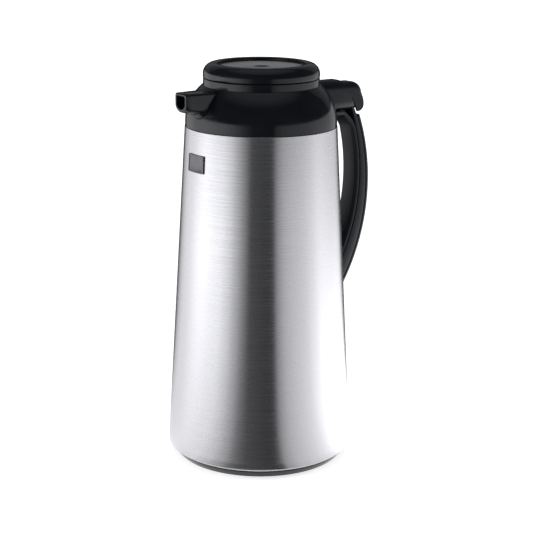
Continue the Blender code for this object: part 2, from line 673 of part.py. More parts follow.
def make_handle_cover():
    """The strip along the back, from under the lever to the handle's foot."""
    inner_r = OUTER_ARC_R - COVER_THICK
    corner = 3.2
    half = HANDLE_HALF_WIDTH
    sections = []
    for angle_deg in angles(21.5, -43, 16):
        angle = math.radians(angle_deg)
        out = Vector((math.cos(angle), math.sin(angle)))
        base = Vector((OUTER_ARC_X, OUTER_ARC_Z))
        outline = []
        for radius, y in ((inner_r, half - 0.2), (OUTER_ARC_R - corner, half),
                          (OUTER_ARC_R - corner * 0.3, half - corner * 0.3),
                          (OUTER_ARC_R, half - corner)):
            spot = base + out * radius
            outline.append((spot.x, y, spot.y))
        sections.append(outline + [(x, -y, z) for x, y, z in reversed(outline)])
    cover = loft("handle_cover", sections, SATIN)
    cut(cover, shell_cutter("cover_shell_seat"))
    return cover


def make_handle_fixings():
    for number, side in enumerate((-1, 1), start=1):
        y, z = side * BRACKET_SCREW_Y, BRACKET_SCREW_Z
        screw("bracket_screw_%d" % number, (53.0, y, z), (64.0, y, z))
    low, high = FOOT_SCREW_ZS[0] - 8, FOOT_SCREW_ZS[-1] + 8
    outer, inner = SHELL_WALL + CLEAR, SHELL_WALL + CLEAR + 1.2
    outline = [(shell_r(low) - inner, low), (shell_r(low) - outer, low),
               (shell_r(high) - outer, high), (shell_r(high) - inner, high)]
    plate = block_round_axis("handle_backing_plate", outline, -8, 8, 4, STEEL)
    for number, z in enumerate(FOOT_SCREW_ZS, start=1):
        cut(plate, rod("backing_hole", (55, 0, z), (75, 0, z), HOLE_R))
        face = shell_r(z) - inner - 0.5
        screw("handle_foot_screw_%d" % number, (face, 0, z), (frame_back_x(z) - 1.2, 0, z))


# ---------------------------------------------------------------- thumb lever

def roofed_bar(name, inset):
    """A bar with the housing's rounded roof and straight sides, drawn in by inset."""
    half, top = BARREL_HALF_WIDTH - inset, BARREL_TOP_Z - inset
    corner = BARREL_CORNER_R - inset
    sections = []
    for x in (PIN_X - 8, BUTTON_REAR_X + 6):
        side = [(x, y, z) for y, z in arc(half - corner, top - corner, corner, 0, 90, 4)]
        other_side = [(x, -y, z) for x, y, z in reversed(side)]
        sections.append(side + other_side + [(x, -half, 250), (x, half, 250)])
    return loft(name, sections, None)


def make_lever():
    """Thumb button, arm and tongue in one moulding, with its pin and return spring."""
    wall = 1.8
    inset = BARREL_WALL + CLEAR
    top = BARREL_TOP_Z - inset
    rear, low = BUTTON_REAR_X, BUTTON_LOW_Z
    front = PIN_X + 1.6
    crown, heel, heel_wall = 10.0, 5.6, 3.0
    outline = [(front, top)] + arc(rear - crown, top - crown, crown, 90, 0, 6)
    outline += arc(rear - heel, low + heel, heel, 0, -90, 4)
    outline += [(88.2, low), (85.8, 271.6), (82.9, 277.5), (front, 277.5)]
    lever = prism("thumb_lever", outline, BARREL_HALF_WIDTH + 3, SATIN)
    add_boolean(lever, roofed_bar("button_sides", inset), 'INTERSECT')
    hollow = [(front - 4, top - wall)] + arc(rear - crown, top - crown, crown - wall, 90, 0, 4)
    hollow += [(rear - wall, low + heel), (rear - heel_wall, low + 2), (rear - heel_wall, low - 3),
               (89.8, low - 3), (87.4, 272.0), (84.0, 276.0), (front - 4, 276.0)]
    inside = prism("lever_hollow", hollow, BARREL_HALF_WIDTH + 3, None)
    add_boolean(inside, roofed_bar("hollow_sides", inset + wall), 'INTERSECT')
    cut(lever, inside)
    arm = [(TONGUE_TIP_X, TONGUE_LOW_Z), (TONGUE_TIP_X, TONGUE_TOP_Z), (48, TONGUE_TOP_Z),
           (62, 284.0), (rear - 1.2, 284.0), (rear - 1.2, 278.0), (85, 275.2), (76.8, 275.2),
           (75.0, 272.0), (PIN_X - 3, 272.0), (60, 281.0), (54, TONGUE_LOW_Z)]
    join(lever, prism("lever_arm", arm, ARM_HALF_WIDTH, None))
    join(lever, rod("lever_boss", (PIN_X, -ARM_HALF_WIDTH, PIN_Z), (PIN_X, ARM_HALF_WIDTH, PIN_Z),
                    4.2, steps=24))
    reach = BARREL_HALF_WIDTH - 0.9
    cut(lever, rod("lever_bore", (PIN_X, -reach, PIN_Z), (PIN_X, reach, PIN_Z), PIN_R + RUNNING))
    rod("lever_pin", (PIN_X, -reach, PIN_Z), (PIN_X, reach, PIN_Z), PIN_R, WIRE)
    floor = BARREL_LOW_Z + BARREL_WALL + CLEAR
    coil("lever_spring", 1.9, 0.35, floor, 274.6, 3, 79.5, WIRE)


# ---------------------------------------------------------------- lid cap and stopper

def make_cap():
    """The cap that turns on the hub, with the plate sunk in its top."""
    crest_r = CAP_R - CAP_EDGE_R
    seat_z = INLAY_TOP_Z - INLAY_THICK - CLEAR
    ceiling = seat_z - 1.3
    rim = COLLAR_TOP_Z + CLEAR
    skirt_in = SKIRT_R - SKIRT_WALL
    keeper_low = HUB_LOW_Z - CLEAR - 1.4
    profile = [(0, seat_z), (INLAY_R + CLEAR, seat_z), (INLAY_R + CLEAR, CAP_TOP_Z - 1.4),
               (INLAY_R + 1.6, CAP_TOP_Z - 0.3)]
    profile += arc(crest_r, CAP_TOP_Z - CAP_EDGE_R, CAP_EDGE_R, 90, 0, 6)
    profile += [(CAP_R, rim + 0.4), (CAP_R - 0.4, rim), (SKIRT_R, rim), (SKIRT_R, SKIRT_END_Z),
                (skirt_in, SKIRT_END_Z), (skirt_in, keeper_low), (HUB_R - 1.6, keeper_low + 0.4),
                (HUB_R - 1.6, HUB_LOW_Z - CLEAR), (skirt_in, HUB_LOW_Z - CLEAR),
                (skirt_in, ceiling), (0, ceiling)]
    cap = lathe("lid_cap", profile, BLACK, ring=False)
    lug = rectangle(SKIRT_R - 0.8, LUG_R, LUG_LOW_Z, LUG_TOP_Z)
    for turn in (60, 180, 300):
        join(cap, block_round_axis("lug", lug, turn - 18, turn + 18, 6))
    dimple = ellipse(DIMPLE_R, DIMPLE_DEEP, INLAY_TOP_Z, -90, 0, 4)
    plate = dimple + [(INLAY_R - 0.5, INLAY_TOP_Z), (INLAY_R, INLAY_TOP_Z - 0.5),
                      (INLAY_R, INLAY_TOP_Z - INLAY_THICK), (0, INLAY_TOP_Z - INLAY_THICK)]
    lathe("lid_inlay", plate, SATIN, ring=False, steps=MIDDLE_ROUND)


def post_places():
    for number, degrees in enumerate((30, 150, 270), start=1):
        angle = math.radians(degrees)
        yield number, POST_CIRCLE_R * math.cos(angle), POST_CIRCLE_R * math.sin(angle)


def make_stopper():
    """The cup that closes the neck, its seals, the stem guide with its posts, and the hub."""
    flange_top = BORE_FLOOR_Z + CLEAR + FLANGE_THICK
    guide_r = CUP_R - 2.2
    ledge_z = flange_top - 3.2
    lip_r = TUBE_R - 0.8
    floor_top = CUP_FLOOR_Z + CUP_FLOOR
    cup = [(FLANGE_R, flange_top), (FLANGE_R, BORE_FLOOR_Z + CLEAR), (CUP_R, BORE_FLOOR_Z + CLEAR),
           (CUP_R, CUP_FLOOR_Z + 1.2), (lip_r, CUP_FLOOR_Z + 1.0), (lip_r, CUP_FLOOR_Z),
           (SEAT_R, CUP_FLOOR_Z), (SEAT_R, floor_top), (guide_r - 1.4, floor_top),
           (guide_r - 1.4, ledge_z), (guide_r, ledge_z), (guide_r, flange_top)]
    body = lathe("stopper_body", cup, INNER, steps=MIDDLE_ROUND)
    key = rectangle(FLANGE_R - 1, 38.0, BORE_FLOOR_Z + CLEAR, flange_top)
    join(body, block_round_axis("stopper_key", key, 86.5, 93.5, 2))
    cut(body, box("stopper_window", (-CUP_R - 3, -POUR_HALF_WIDTH, POUR_LOW_Z),
                  (-CUP_R + 8, POUR_HALF_WIDTH, POUR_HIGH_Z)))
    seal_in, seal_out = CUP_R + CLEAR, TUBE_R - CLEAR
    low = CUP_FLOOR_Z + 1.6
    gasket = [(seal_in, low + 3.6), (seal_in + 1.1, low + 3.6), (seal_out, low + 2.8),
              (seal_out, low + 0.9), (seal_in + 1.1, low), (seal_in, low)]
    lathe("stopper_gasket", gasket, RUBBER, steps=MIDDLE_ROUND)
    middle, half = (seal_in + seal_out) / 2, (seal_out - seal_in) / 2
    upper = ellipse(half, UPPER_SEAL_HALF, UPPER_SEAL_TOP_Z - UPPER_SEAL_HALF, 90, -210, 5,
                    centre_r=middle)
    lathe("stopper_upper_seal", upper, RUBBER, steps=MIDDLE_ROUND)
    guide_out = guide_r - CLEAR
    bore_r = STEM_R + CLEAR
    guide = [(guide_out, flange_top - 0.3), (guide_out, ledge_z + CLEAR), (6.0, ledge_z + CLEAR),
             (6.0, 274.0), (bore_r, 274.0), (bore_r, 285.2), (6.0, 285.2), (6.0, flange_top - 0.3)]
    guide = lathe("stem_guide", guide, INNER, steps=SMALL_ROUND)
    ring_out = POST_CIRCLE_R - POST_R - 3.0
    ring_in = ring_out - 1.6
    hub = [(0, HUB_LOW_Z + HUB_THICK), (HUB_R, HUB_LOW_Z + HUB_THICK), (HUB_R, HUB_LOW_Z),
           (ring_out, HUB_LOW_Z), (ring_out, HUB_LOW_Z - 1.0), (ring_in, HUB_LOW_Z - 1.0),
           (ring_in, HUB_LOW_Z), (0, HUB_LOW_Z)]
    hub = lathe("stopper_hub", hub, INNER, ring=False, steps=MIDDLE_ROUND)
    for number, x, y in post_places():
        join(guide, rod("post", (x, y, ledge_z + 1), (x, y, HUB_LOW_Z - CLEAR), POST_R))
    for number, x, y in post_places():
        cut(guide, rod("post_hole", (x, y, 289), (x, y, HUB_LOW_Z + 1), HOLE_R, steps=12))
        cut(hub, rod("hub_hole", (x, y, HUB_LOW_Z - 2), (x, y, HUB_LOW_Z + 4), HOLE_R, steps=12))
        top = HUB_LOW_Z + HUB_THICK + CLEAR
        screw("hub_screw_%d" % number, (x, y, top), (x, y, top - 11))


def make_valve():
    """Everything the lever's tongue lifts: plate, stem, clip and plug, and the spring."""
    plate_top = PLATE_LOW_Z + PLATE_THICK
    collar_z = PLATE_LOW_Z - CLEAR
    hub_top = plate_top + 1.0
    plate = lathe("lift_plate", [(PLATE_R, plate_top), (PLATE_R, PLATE_LOW_Z),
                                 (STEM_R + CLEAR, PLATE_LOW_Z), (STEM_R + CLEAR, hub_top),
                                 (6.0, hub_top), (6.0, plate_top)], INNER, steps=MIDDLE_ROUND)
    for number, x, y in post_places():
        cut(plate, rod("plate_hole", (x, y, PLATE_LOW_Z - 3), (x, y, hub_top + 3), POST_R + 0.9,
                       steps=20))
    floor_top = CUP_FLOOR_Z + CUP_FLOOR
    plug_top = floor_top + 3.4
    stem = [(0, STEM_TOP_Z), (STEM_R - 0.5, STEM_TOP_Z), (STEM_R, STEM_TOP_Z - 0.5),
            (STEM_R, collar_z), (4.4, collar_z), (4.4, collar_z - 0.5), (STEM_R, collar_z - 0.5),
            (STEM_R, plug_top + 1.6), (8.0, plug_top + 0.9), (8.0, plug_top + CLEAR),
            (STEM_R, plug_top + CLEAR), (STEM_R, 256.2), (4.6, 255.9), (4.0, 254.9), (0, 254.9)]
    lathe("valve_stem", stem, INNER, ring=False, steps=12)
    clip_low = hub_top + CLEAR
    lathe("stem_clip", [(STEM_R + CLEAR, clip_low + 0.7), (5.6, clip_low + 0.7), (5.6, clip_low),
                        (STEM_R + CLEAR, clip_low)], WIRE, steps=12)
    plug = [(STEM_R + CLEAR, plug_top), (SEAT_R + 2.4, plug_top), (SEAT_R + 2.4, floor_top + CLEAR),
            (SEAT_R - 0.4, floor_top + CLEAR), (SEAT_R - 1.0, floor_top - 1.0),
            (STEM_R + CLEAR, floor_top - 1.4)]
    lathe("valve_plug", plug, RUBBER, steps=SMALL_ROUND)
    coil("valve_spring", 7.5, 0.5, plate_top + CLEAR, HUB_LOW_Z - CLEAR, 5, 0.0, WIRE)


make_outer_shell()
make_base()
make_liner()
make_liner_mountings()
make_shoulder()
make_spout()
make_badge()
make_handle_frame()
make_handle_grip()
make_handle_cover()
make_handle_fixings()
make_lever()
make_cap()
make_stopper()
make_valve()
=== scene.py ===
"""Thermal pour carafe: finished pieces, finishes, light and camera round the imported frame.

The carafe stands on z = 0 round the Z axis, spout towards -X and handle towards +X. Lengths are
in millimetres until they reach a mesh, where MM turns them into metres.
"""

import json
import math

import bmesh
import bpy
from mathutils import Matrix, Vector


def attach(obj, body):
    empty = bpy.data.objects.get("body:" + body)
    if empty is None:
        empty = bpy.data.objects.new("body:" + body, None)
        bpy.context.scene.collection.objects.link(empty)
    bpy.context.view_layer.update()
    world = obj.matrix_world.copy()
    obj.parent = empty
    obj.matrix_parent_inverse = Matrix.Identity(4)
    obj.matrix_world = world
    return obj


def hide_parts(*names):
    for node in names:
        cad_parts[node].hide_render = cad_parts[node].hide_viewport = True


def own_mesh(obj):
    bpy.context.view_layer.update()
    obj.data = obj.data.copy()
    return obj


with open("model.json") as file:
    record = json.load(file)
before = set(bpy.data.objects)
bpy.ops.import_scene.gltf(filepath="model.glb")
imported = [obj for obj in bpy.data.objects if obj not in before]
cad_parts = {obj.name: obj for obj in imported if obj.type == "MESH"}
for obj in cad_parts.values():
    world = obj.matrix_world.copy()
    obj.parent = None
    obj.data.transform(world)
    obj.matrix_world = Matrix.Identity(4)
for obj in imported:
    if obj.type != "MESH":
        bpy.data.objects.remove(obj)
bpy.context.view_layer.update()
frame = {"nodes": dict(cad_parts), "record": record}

MM = 0.001
CLEAR = 0.3                     # between pieces that rest on each other
THIRDS = (0, 120, 240)          # bearings of what repeats three times round, in degrees

SHELL_TOP_R, SHELL_TOP_Z = 58.4, 262.6
SHELL_BELLY_R, SHELL_BELLY_Z = 72.5, 13.3
SHELL_FOOT_Z, SHELL_WALL = 7.0, 0.8
SHELL_ROLL = 4.4                # how far the steel is rolled in under its foot
SHELL_SLOPE = (SHELL_BELLY_R - SHELL_TOP_R) / (SHELL_TOP_Z - SHELL_BELLY_Z)

DOME_ARC_R, DOME_ARC_Z, DOME_FOOT_R, DOME_WALL = 35.5, 266.0, 58.1, 2.0
DOME_CENTRE_R = DOME_FOOT_R - DOME_ARC_R
COLLAR_R, COLLAR_FOOT_Z, COLLAR_TOP_Z = 44.4, 293.2, 299.0
BORE_R, BORE_FLOOR_Z = 41.0, 282.0
TUBE_R, TUBE_WALL, TUBE_END_Z = 29.0, 2.0, 255.3
LIP_R, LIP_LOW_Z, LIP_TOP_Z = 39.2, 296.3, 298.5
LUG_R, LUG_LOW_Z, LUG_TOP_Z = 40.7, 293.2, 295.9

CAP_R, CAP_TOP_Z, CAP_EDGE_R = 44.5, 310.0, 8.0
SKIRT_R, SKIRT_WALL, SKIRT_END_Z = 38.9, 1.7, 292.8
HUB_R, HUB_LOW_Z = 36.6, 300.0
INLAY_R, INLAY_TOP_Z, INLAY_THICK = 32.9, 307.2, 1.5

SPOUT_TIP_X, SPOUT_HALF, SPOUT_TOP_Z, SPOUT_LOW_Z = -73.0, 7.7, 292.2, 278.2
PIPE_TOP_Z, PIPE_LOW_Z, PIPE_HALF, PIPE_BEND_X = 277.9, 264.3, 7.9, -44.0
POUR_LOW_Z, POUR_HIGH_Z, POUR_HALF = 266.0, 276.2, 6.2
SPOUT_WALL = 1.7

OUTER_ARC_X, OUTER_ARC_Z, OUTER_ARC_R = -50.0, 208.0, 152.0
INNER_ARC_X, INNER_ARC_Z, INNER_ARC_R = -52.0, 216.0, 140.0
HANDLE_MIDDLE = (-51.0, 212.0)  # where the rays across the handle start
HANDLE_FOOT_DEG = -43           # its lowest ray, inside the steel
HANDLE_HALF, GRIP_THICK, COVER_THICK = 9.5, 3.6, 3.7
FRAME_ARC_R = OUTER_ARC_R - COVER_THICK - CLEAR
BARREL_HALF, BARREL_LOW_Z, BARREL_TOP_Z = 11.0, 268.0, 292.0
BARREL_WALL, BARREL_CORNER_R = 1.8, 7.5

PIN_X, PIN_Z = 72.0, 275.0
BUTTON_REAR_X, BUTTON_LOW_Z = 94.4, 266.3
ARM_HALF = 3.4
BOSS_R, PIN_BORE_R = 4.2, 1.72
TONGUE_TIP_X, TONGUE_LOW_Z, TONGUE_TOP_Z = 35.6, 283.0, 286.0


# ---------------------------------------------------------------- outlines

def arc(centre_a, centre_b, radius, first_deg, last_deg, steps):
    """Points along a circle, both ends included."""
    points = []
    for step in range(steps + 1):
        angle = math.radians(first_deg + (last_deg - first_deg) * step / steps)
        points.append((centre_a + radius * math.cos(angle), centre_b + radius * math.sin(angle)))
    return points


def eased(corners, steps=5):
    """A closed outline in which a corner given as (a, b, radius) is rounded."""
    points = []
    for number, corner in enumerate(corners):
        here = Vector(corner[:2])
        if len(corner) == 2:
            points.append(tuple(here))
            continue
        before = (Vector(corners[number - 1][:2]) - here).normalized()
        after = (Vector(corners[(number + 1) % len(corners)][:2]) - here).normalized()
        half_angle = before.angle(after) / 2
        centre = here + (before + after).normalized() * corner[2] / math.sin(half_angle)
        reach = corner[2] / math.tan(half_angle)
        first = here + before * reach - centre
        last = here + after * reach - centre
        turn = math.atan2(first.x * last.y - first.y * last.x, first.dot(last))
        for step in range(steps + 1):
            spoke = Matrix.Rotation(turn * step / steps, 2) @ first
            points.append(tuple(centre + spoke))
    return points


def shell_r(z):
    """Outer radius of the steel cone."""
    return SHELL_TOP_R + (SHELL_TOP_Z - z) * SHELL_SLOPE


def dome_outline(offset, steps=24):
    """The dome's round side from the collar down to its foot, moved outward by offset."""
    top = math.degrees(math.asin((COLLAR_FOOT_Z - DOME_ARC_Z) / DOME_ARC_R))
    return arc(DOME_CENTRE_R, DOME_ARC_Z, DOME_ARC_R + offset, top, 0.0, steps)


# ---------------------------------------------------------------- modelling

def pick_only(piece):
    """Select this piece alone and make it active."""
    bpy.ops.object.select_all(action='DESELECT')
    piece.select_set(True)
    bpy.context.view_layer.objects.active = piece


def blank(name, points, fill='NOTHING'):
    """A ring whose corners are moved onto the given points."""
    bpy.ops.object.select_all(action='DESELECT')
    bpy.ops.mesh.primitive_circle_add(vertices=len(points), radius=0.01, fill_type=fill,
                                      location=(0, 0, 0))
    piece = bpy.context.object
    piece.name = name
    piece.data.name = name
    for corner, point in zip(piece.data.vertices, points):
        corner.co = Vector(point) * MM
    return piece


def close_up(piece):
    """Merge what meets, drop what is loose and turn the faces outward."""
    pick_only(piece)
    bpy.ops.object.mode_set(mode='EDIT')
    bpy.ops.mesh.select_all(action='SELECT')
    bpy.ops.mesh.remove_doubles(threshold=2e-6)
    bpy.ops.mesh.delete_loose(use_verts=True, use_edges=True, use_faces=False)
    bpy.ops.mesh.select_all(action='SELECT')
    bpy.ops.mesh.normals_make_consistent(inside=False)
    bpy.ops.object.mode_set(mode='OBJECT')
    return piece


def spun(name, outline, steps=160, first_deg=0.0, last_deg=360.0):
    """A turned piece: the outline (radius, height) spun about the carafe's axis."""
    first = math.radians(first_deg)
    points = [(r * math.cos(first), r * math.sin(first), z) for r, z in outline]
    whole = last_deg - first_deg > 359.9
    piece = blank(name, points, 'NOTHING' if whole else 'NGON')
    bpy.ops.object.mode_set(mode='EDIT')
    bpy.ops.mesh.select_all(action='SELECT')
    bpy.ops.mesh.spin(steps=steps, angle=math.radians(last_deg - first_deg), center=(0, 0, 0),
                      axis=(0, 0, -1))
    bpy.ops.object.mode_set(mode='OBJECT')
    return close_up(piece)


def rod(name, start, end, radius, steps=32):
    """A round bar between two points."""
    start, end = Vector(start), Vector(end)
    axis = (end - start).normalized()
    side = axis.orthogonal().normalized()
    other = axis.cross(side)
    sections = []
    for centre in (start, end):
        ring = [centre + side * a + other * b for a, b in arc(0, 0, radius, 0, 360, steps)[:-1]]
        sections.append(ring)
    return lofted(name, sections)


def lofted(name, sections):
    """Extrude the first section through all the others and cap both ends."""
    count = len(sections[0])
    piece = blank(name, sections[0])
    bpy.ops.object.mode_set(mode='EDIT')
    bpy.ops.mesh.select_all(action='SELECT')
    ring = list(range(count))
    for section in sections[1:]:
        bpy.ops.mesh.extrude_edges_move()
        mesh = bmesh.from_edit_mesh(piece.data)
        mesh.verts.ensure_lookup_table()
        mesh.verts.index_update()
        next_ring = []
        for index, point in zip(ring, section):
            for edge in mesh.verts[index].link_edges:
                corner = edge.other_vert(mesh.verts[index])
                if corner.select:
                    corner.co = Vector(point) * MM
                    next_ring.append(corner.index)
        ring = next_ring
        bmesh.update_edit_mesh(piece.data)
    for end in (range(count), ring):
        bpy.ops.mesh.select_all(action='DESELECT')
        mesh = bmesh.from_edit_mesh(piece.data)
        mesh.verts.ensure_lookup_table()
        for index in end:
            mesh.verts[index].select_set(True)
        mesh.select_flush(True)
        bpy.ops.mesh.edge_face_add()
    bpy.ops.object.mode_set(mode='OBJECT')
    return close_up(piece)


def slab(name, outline, half_width):
    """An outline (x, z) extruded across to both sides of the middle plane."""
    piece = blank(name, [(x, -half_width, z) for x, z in outline], 'NGON')
    bpy.ops.object.mode_set(mode='EDIT')
    bpy.ops.mesh.select_all(action='SELECT')
    bpy.ops.mesh.extrude_region_move(TRANSFORM_OT_translate={"value": (0, 2 * half_width * MM, 0)})
    bpy.ops.object.mode_set(mode='OBJECT')
    return close_up(piece)


def block(name, low, high, half_width):
    """A plain cutter between two corners (x, z)."""
    outline = [low, (high[0], low[1]), high, (low[0], high[1])]
    return slab(name, outline, half_width)


def combine(piece, tool, operation):
    """Apply one Boolean and throw its tool away."""
    step = piece.modifiers.new("combine", 'BOOLEAN')
    step.operation = operation
    step.solver = 'EXACT'
    step.object = tool
    pick_only(piece)
    bpy.ops.object.modifier_apply(modifier=step.name)
    bpy.data.objects.remove(tool, do_unlink=True)
    return piece


def cut(piece, tool):
    """Take the tool's shape out of the piece."""
    return combine(piece, tool, 'DIFFERENCE')


def join(piece, tool):
    """Add the tool's shape to the piece."""
    return combine(piece, tool, 'UNION')


def soften(piece, width, angle_deg, segments):
    """Round the piece's sharp edges."""
    step = piece.modifiers.new("soften", 'BEVEL')
    step.width = width * MM
    step.segments = segments
    step.limit_method = 'ANGLE'
    step.angle_limit = math.radians(angle_deg)
    step.use_clamp_overlap = True
    step.harden_normals = False
    pick_only(piece)
    bpy.ops.object.modifier_apply(modifier=step.name)
    return piece


def finish(piece, finish_name, body, *nodes, smooth_deg=32.0, slot=None):
    """Give the piece its finish and shading, and set it on its body in place of CAD nodes.

    slot names the record's finish, where the piece wears one that the record doesn't list; it is
    not used.
    """
    piece.data.materials.clear()
    piece.data.materials.append(finishes[finish_name])
    pick_only(piece)
    bpy.ops.object.shade_smooth_by_angle(angle=math.radians(smooth_deg))
    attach(piece, body)
    if nodes:
        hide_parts(*nodes)
    return piece


# ---------------------------------------------------------------- finishes

def new_finish(name, colour, roughness, metallic=0.0):
    """A material, its nodes and its shader, set to its mean colour and roughness."""
    material = bpy.data.materials.new(name)
    material.use_nodes = True
    shader = material.node_tree.nodes["Principled BSDF"]
    shader.inputs["Base Color"].default_value = (*colour, 1.0)
    shader.inputs["Roughness"].default_value = roughness
    shader.inputs["Metallic"].default_value = metallic
    return material, material.node_tree, shader


def grain(tree, scale, detail=4.0, stretch=(1.0, 1.0, 1.0), distortion=0.0):
    """Noise on the piece's own coordinates."""
    place = tree.nodes.new("ShaderNodeTexCoord")
    mapping = tree.nodes.new("ShaderNodeMapping")
    mapping.inputs["Scale"].default_value = stretch
    noise = tree.nodes.new("ShaderNodeTexNoise")
    noise.inputs["Scale"].default_value = scale
    noise.inputs["Detail"].default_value = detail
    noise.inputs["Distortion"].default_value = distortion
    tree.links.new(place.outputs["Object"], mapping.inputs["Vector"])
    tree.links.new(mapping.outputs["Vector"], noise.inputs["Vector"])
    return noise.outputs["Fac"]


def spread(tree, value, low, high, from_low=0.3, from_high=0.7):
    """Map a 0 to 1 value onto low to high."""
    node = tree.nodes.new("ShaderNodeMapRange")
    node.inputs["From Min"].default_value = from_low
    node.inputs["From Max"].default_value = from_high
    node.inputs["To Min"].default_value = low
    node.inputs["To Max"].default_value = high
    tree.links.new(value, node.inputs["Value"])
    return node.outputs["Result"]


def blend_colours(tree, value, low, high):
    """Run from one colour to another as the value goes from 0 to 1."""
    node = tree.nodes.new("ShaderNodeMix")
    node.data_type = 'RGBA'
    node.inputs["A"].default_value = (*low, 1.0)
    node.inputs["B"].default_value = (*high, 1.0)
    tree.links.new(value, node.inputs["Factor"])
    return node.outputs["Result"]


def tint(tree, shader, value, low, high):
    """Let the value vary the colour."""
    tree.links.new(blend_colours(tree, value, low, high), shader.inputs["Base Color"])


def roughen(tree, shader, value, low, high):
    """Let a grain vary the roughness."""
    tree.links.new(spread(tree, value, low, high), shader.inputs["Roughness"])


def how_far(tree, place):
    """How far a place lies from the origin."""
    node = tree.nodes.new("ShaderNodeVectorMath")
    node.operation = 'LENGTH'
    tree.links.new(place, node.inputs[0])
    return node.outputs["Value"]


def raise_by(tree, shader, height, strength, distance):
    """Turn a height into a bump, on top of any bump already there."""
    bump = tree.nodes.new("ShaderNodeBump")
    bump.inputs["Strength"].default_value = strength
    bump.inputs["Distance"].default_value = distance
    tree.links.new(height, bump.inputs["Height"])
    if shader.inputs["Normal"].is_linked:
        tree.links.new(shader.inputs["Normal"].links[0].from_socket, bump.inputs["Normal"])
    tree.links.new(bump.outputs["Normal"], shader.inputs["Normal"])


def brushed_steel():
    """Satin steel brushed round the body: fine rings, a few coarser ones, faint handling marks."""
    material, tree, shader = new_finish("brushed_steel", (0.60, 0.60, 0.61), 0.3, 1.0)
    fine = grain(tree, 1.0, 6.0, (14.0, 14.0, 2600.0))
    coarse = grain(tree, 1.0, 3.0, (5.0, 5.0, 520.0))
    marks = grain(tree, 9.0, 5.0, (1.0, 1.0, 0.7), 0.4)
    tint(tree, shader, spread(tree, fine, 0.0, 1.0), (0.585, 0.585, 0.60), (0.645, 0.645, 0.655))
    mixed = tree.nodes.new("ShaderNodeMath")
    mixed.operation = 'ADD'
    tree.links.new(spread(tree, fine, 0.22, 0.34), mixed.inputs[0])
    tree.links.new(spread(tree, marks, -0.02, 0.03), mixed.inputs[1])
    tree.links.new(mixed.outputs["Value"], shader.inputs["Roughness"])
    raise_by(tree, shader, fine, 0.012, 0.0001)
    raise_by(tree, shader, coarse, 0.003, 0.0002)
    shader.inputs["Anisotropic"].default_value = 0.8
    shader.inputs["Anisotropic Rotation"].default_value = 0.25
    tangent = tree.nodes.new("ShaderNodeTangent")
    tangent.direction_type = 'RADIAL'
    tangent.axis = 'Z'
    tree.links.new(tangent.outputs["Tangent"], shader.inputs["Tangent"])
    return material


def gloss_black():
    """Polished black moulding with a faint ripple and handling haze."""
    material, tree, shader = new_finish("gloss_black", (0.009, 0.010, 0.013), 0.14)
    haze = grain(tree, 38.0, 6.0, (1.0, 1.0, 1.0), 0.8)
    ripple = grain(tree, 55.0, 2.0)
    speck = grain(tree, 1400.0, 2.0)
    tint(tree, shader, haze, (0.004, 0.0052, 0.0075), (0.0065, 0.008, 0.011))
    roughen(tree, shader, haze, 0.10, 0.19)
    raise_by(tree, shader, ripple, 0.04, 0.0006)
    raise_by(tree, shader, speck, 0.03, 0.0001)
    shader.inputs["Specular IOR Level"].default_value = 0.36
    return material


def satin_black():
    """Black moulding with the fine matt grain of a textured mould."""
    material, tree, shader = new_finish("satin_black", (0.014, 0.016, 0.020), 0.36)
    pits = grain(tree, 1900.0, 3.0)
    wear = grain(tree, 30.0, 5.0, (1.0, 1.0, 0.5), 0.5)
    tint(tree, shader, wear, (0.0035, 0.005, 0.0075), (0.0065, 0.0085, 0.012))
    roughen(tree, shader, wear, 0.30, 0.42)
    raise_by(tree, shader, pits, 0.12, 0.00012)
    shader.inputs["Specular IOR Level"].default_value = 0.24
    return material


def lid_plate_painted_reflection():
    """Satin plate, faintly brushed across: its grey outside the round dimple is a painted
    reflection, and the dimple is left black.
    """
    # The mean grey here is a painted reflection on the plate, not its own colour.
    material, tree, shader = new_finish("lid_plate_painted_reflection", (0.27, 0.27, 0.28), 0.34)
    lines = grain(tree, 1.0, 4.0, (900.0, 20.0, 20.0))
    wear = grain(tree, 40.0, 5.0)
    place = tree.nodes.new("ShaderNodeTexCoord")
    level = tree.nodes.new("ShaderNodeVectorMath")
    level.operation = 'MULTIPLY'
    level.inputs[1].default_value = (1.0, 1.0, 0.0)
    tree.links.new(place.outputs["Object"], level.inputs[0])
    # outside is 1 beyond the dimple, where the painted reflection grey goes.
    outside = spread(tree, how_far(tree, level.outputs["Vector"]), 0.0, 1.0, 0.0058, 0.0061)
    mix = tree.nodes.new("ShaderNodeMix")
    mix.data_type = 'RGBA'
    tree.links.new(outside, mix.inputs["Factor"])
    # A is the dimple's black; B is the painted reflection, a grey standing in for the satin
    # plate's sheen, varied at random.
    mix.inputs["A"].default_value = (0.01, 0.01, 0.012, 1.0)
    tree.links.new(blend_colours(tree, wear, (0.25, 0.25, 0.255), (0.30, 0.30, 0.305)),
                   mix.inputs["B"])
    tree.links.new(mix.outputs["Result"], shader.inputs["Base Color"])
    roughen(tree, shader, wear, 0.28, 0.40)
    raise_by(tree, shader, lines, 0.04, 0.0001)
    return material


def plate_grey():
    """Dark plate: fine scratches along it and slightly rubbed patches all over."""
    material, tree, shader = new_finish("plate_grey", (0.13, 0.13, 0.14), 0.36, 0.7)
    lines = grain(tree, 1.0, 4.0, (40.0, 900.0, 60.0))
    rub = grain(tree, 300.0, 3.0)
    tint(tree, shader, rub, (0.10, 0.10, 0.108), (0.17, 0.17, 0.178))
    roughen(tree, shader, lines, 0.28, 0.44)
    raise_by(tree, shader, lines, 0.1, 0.0001)
    return material


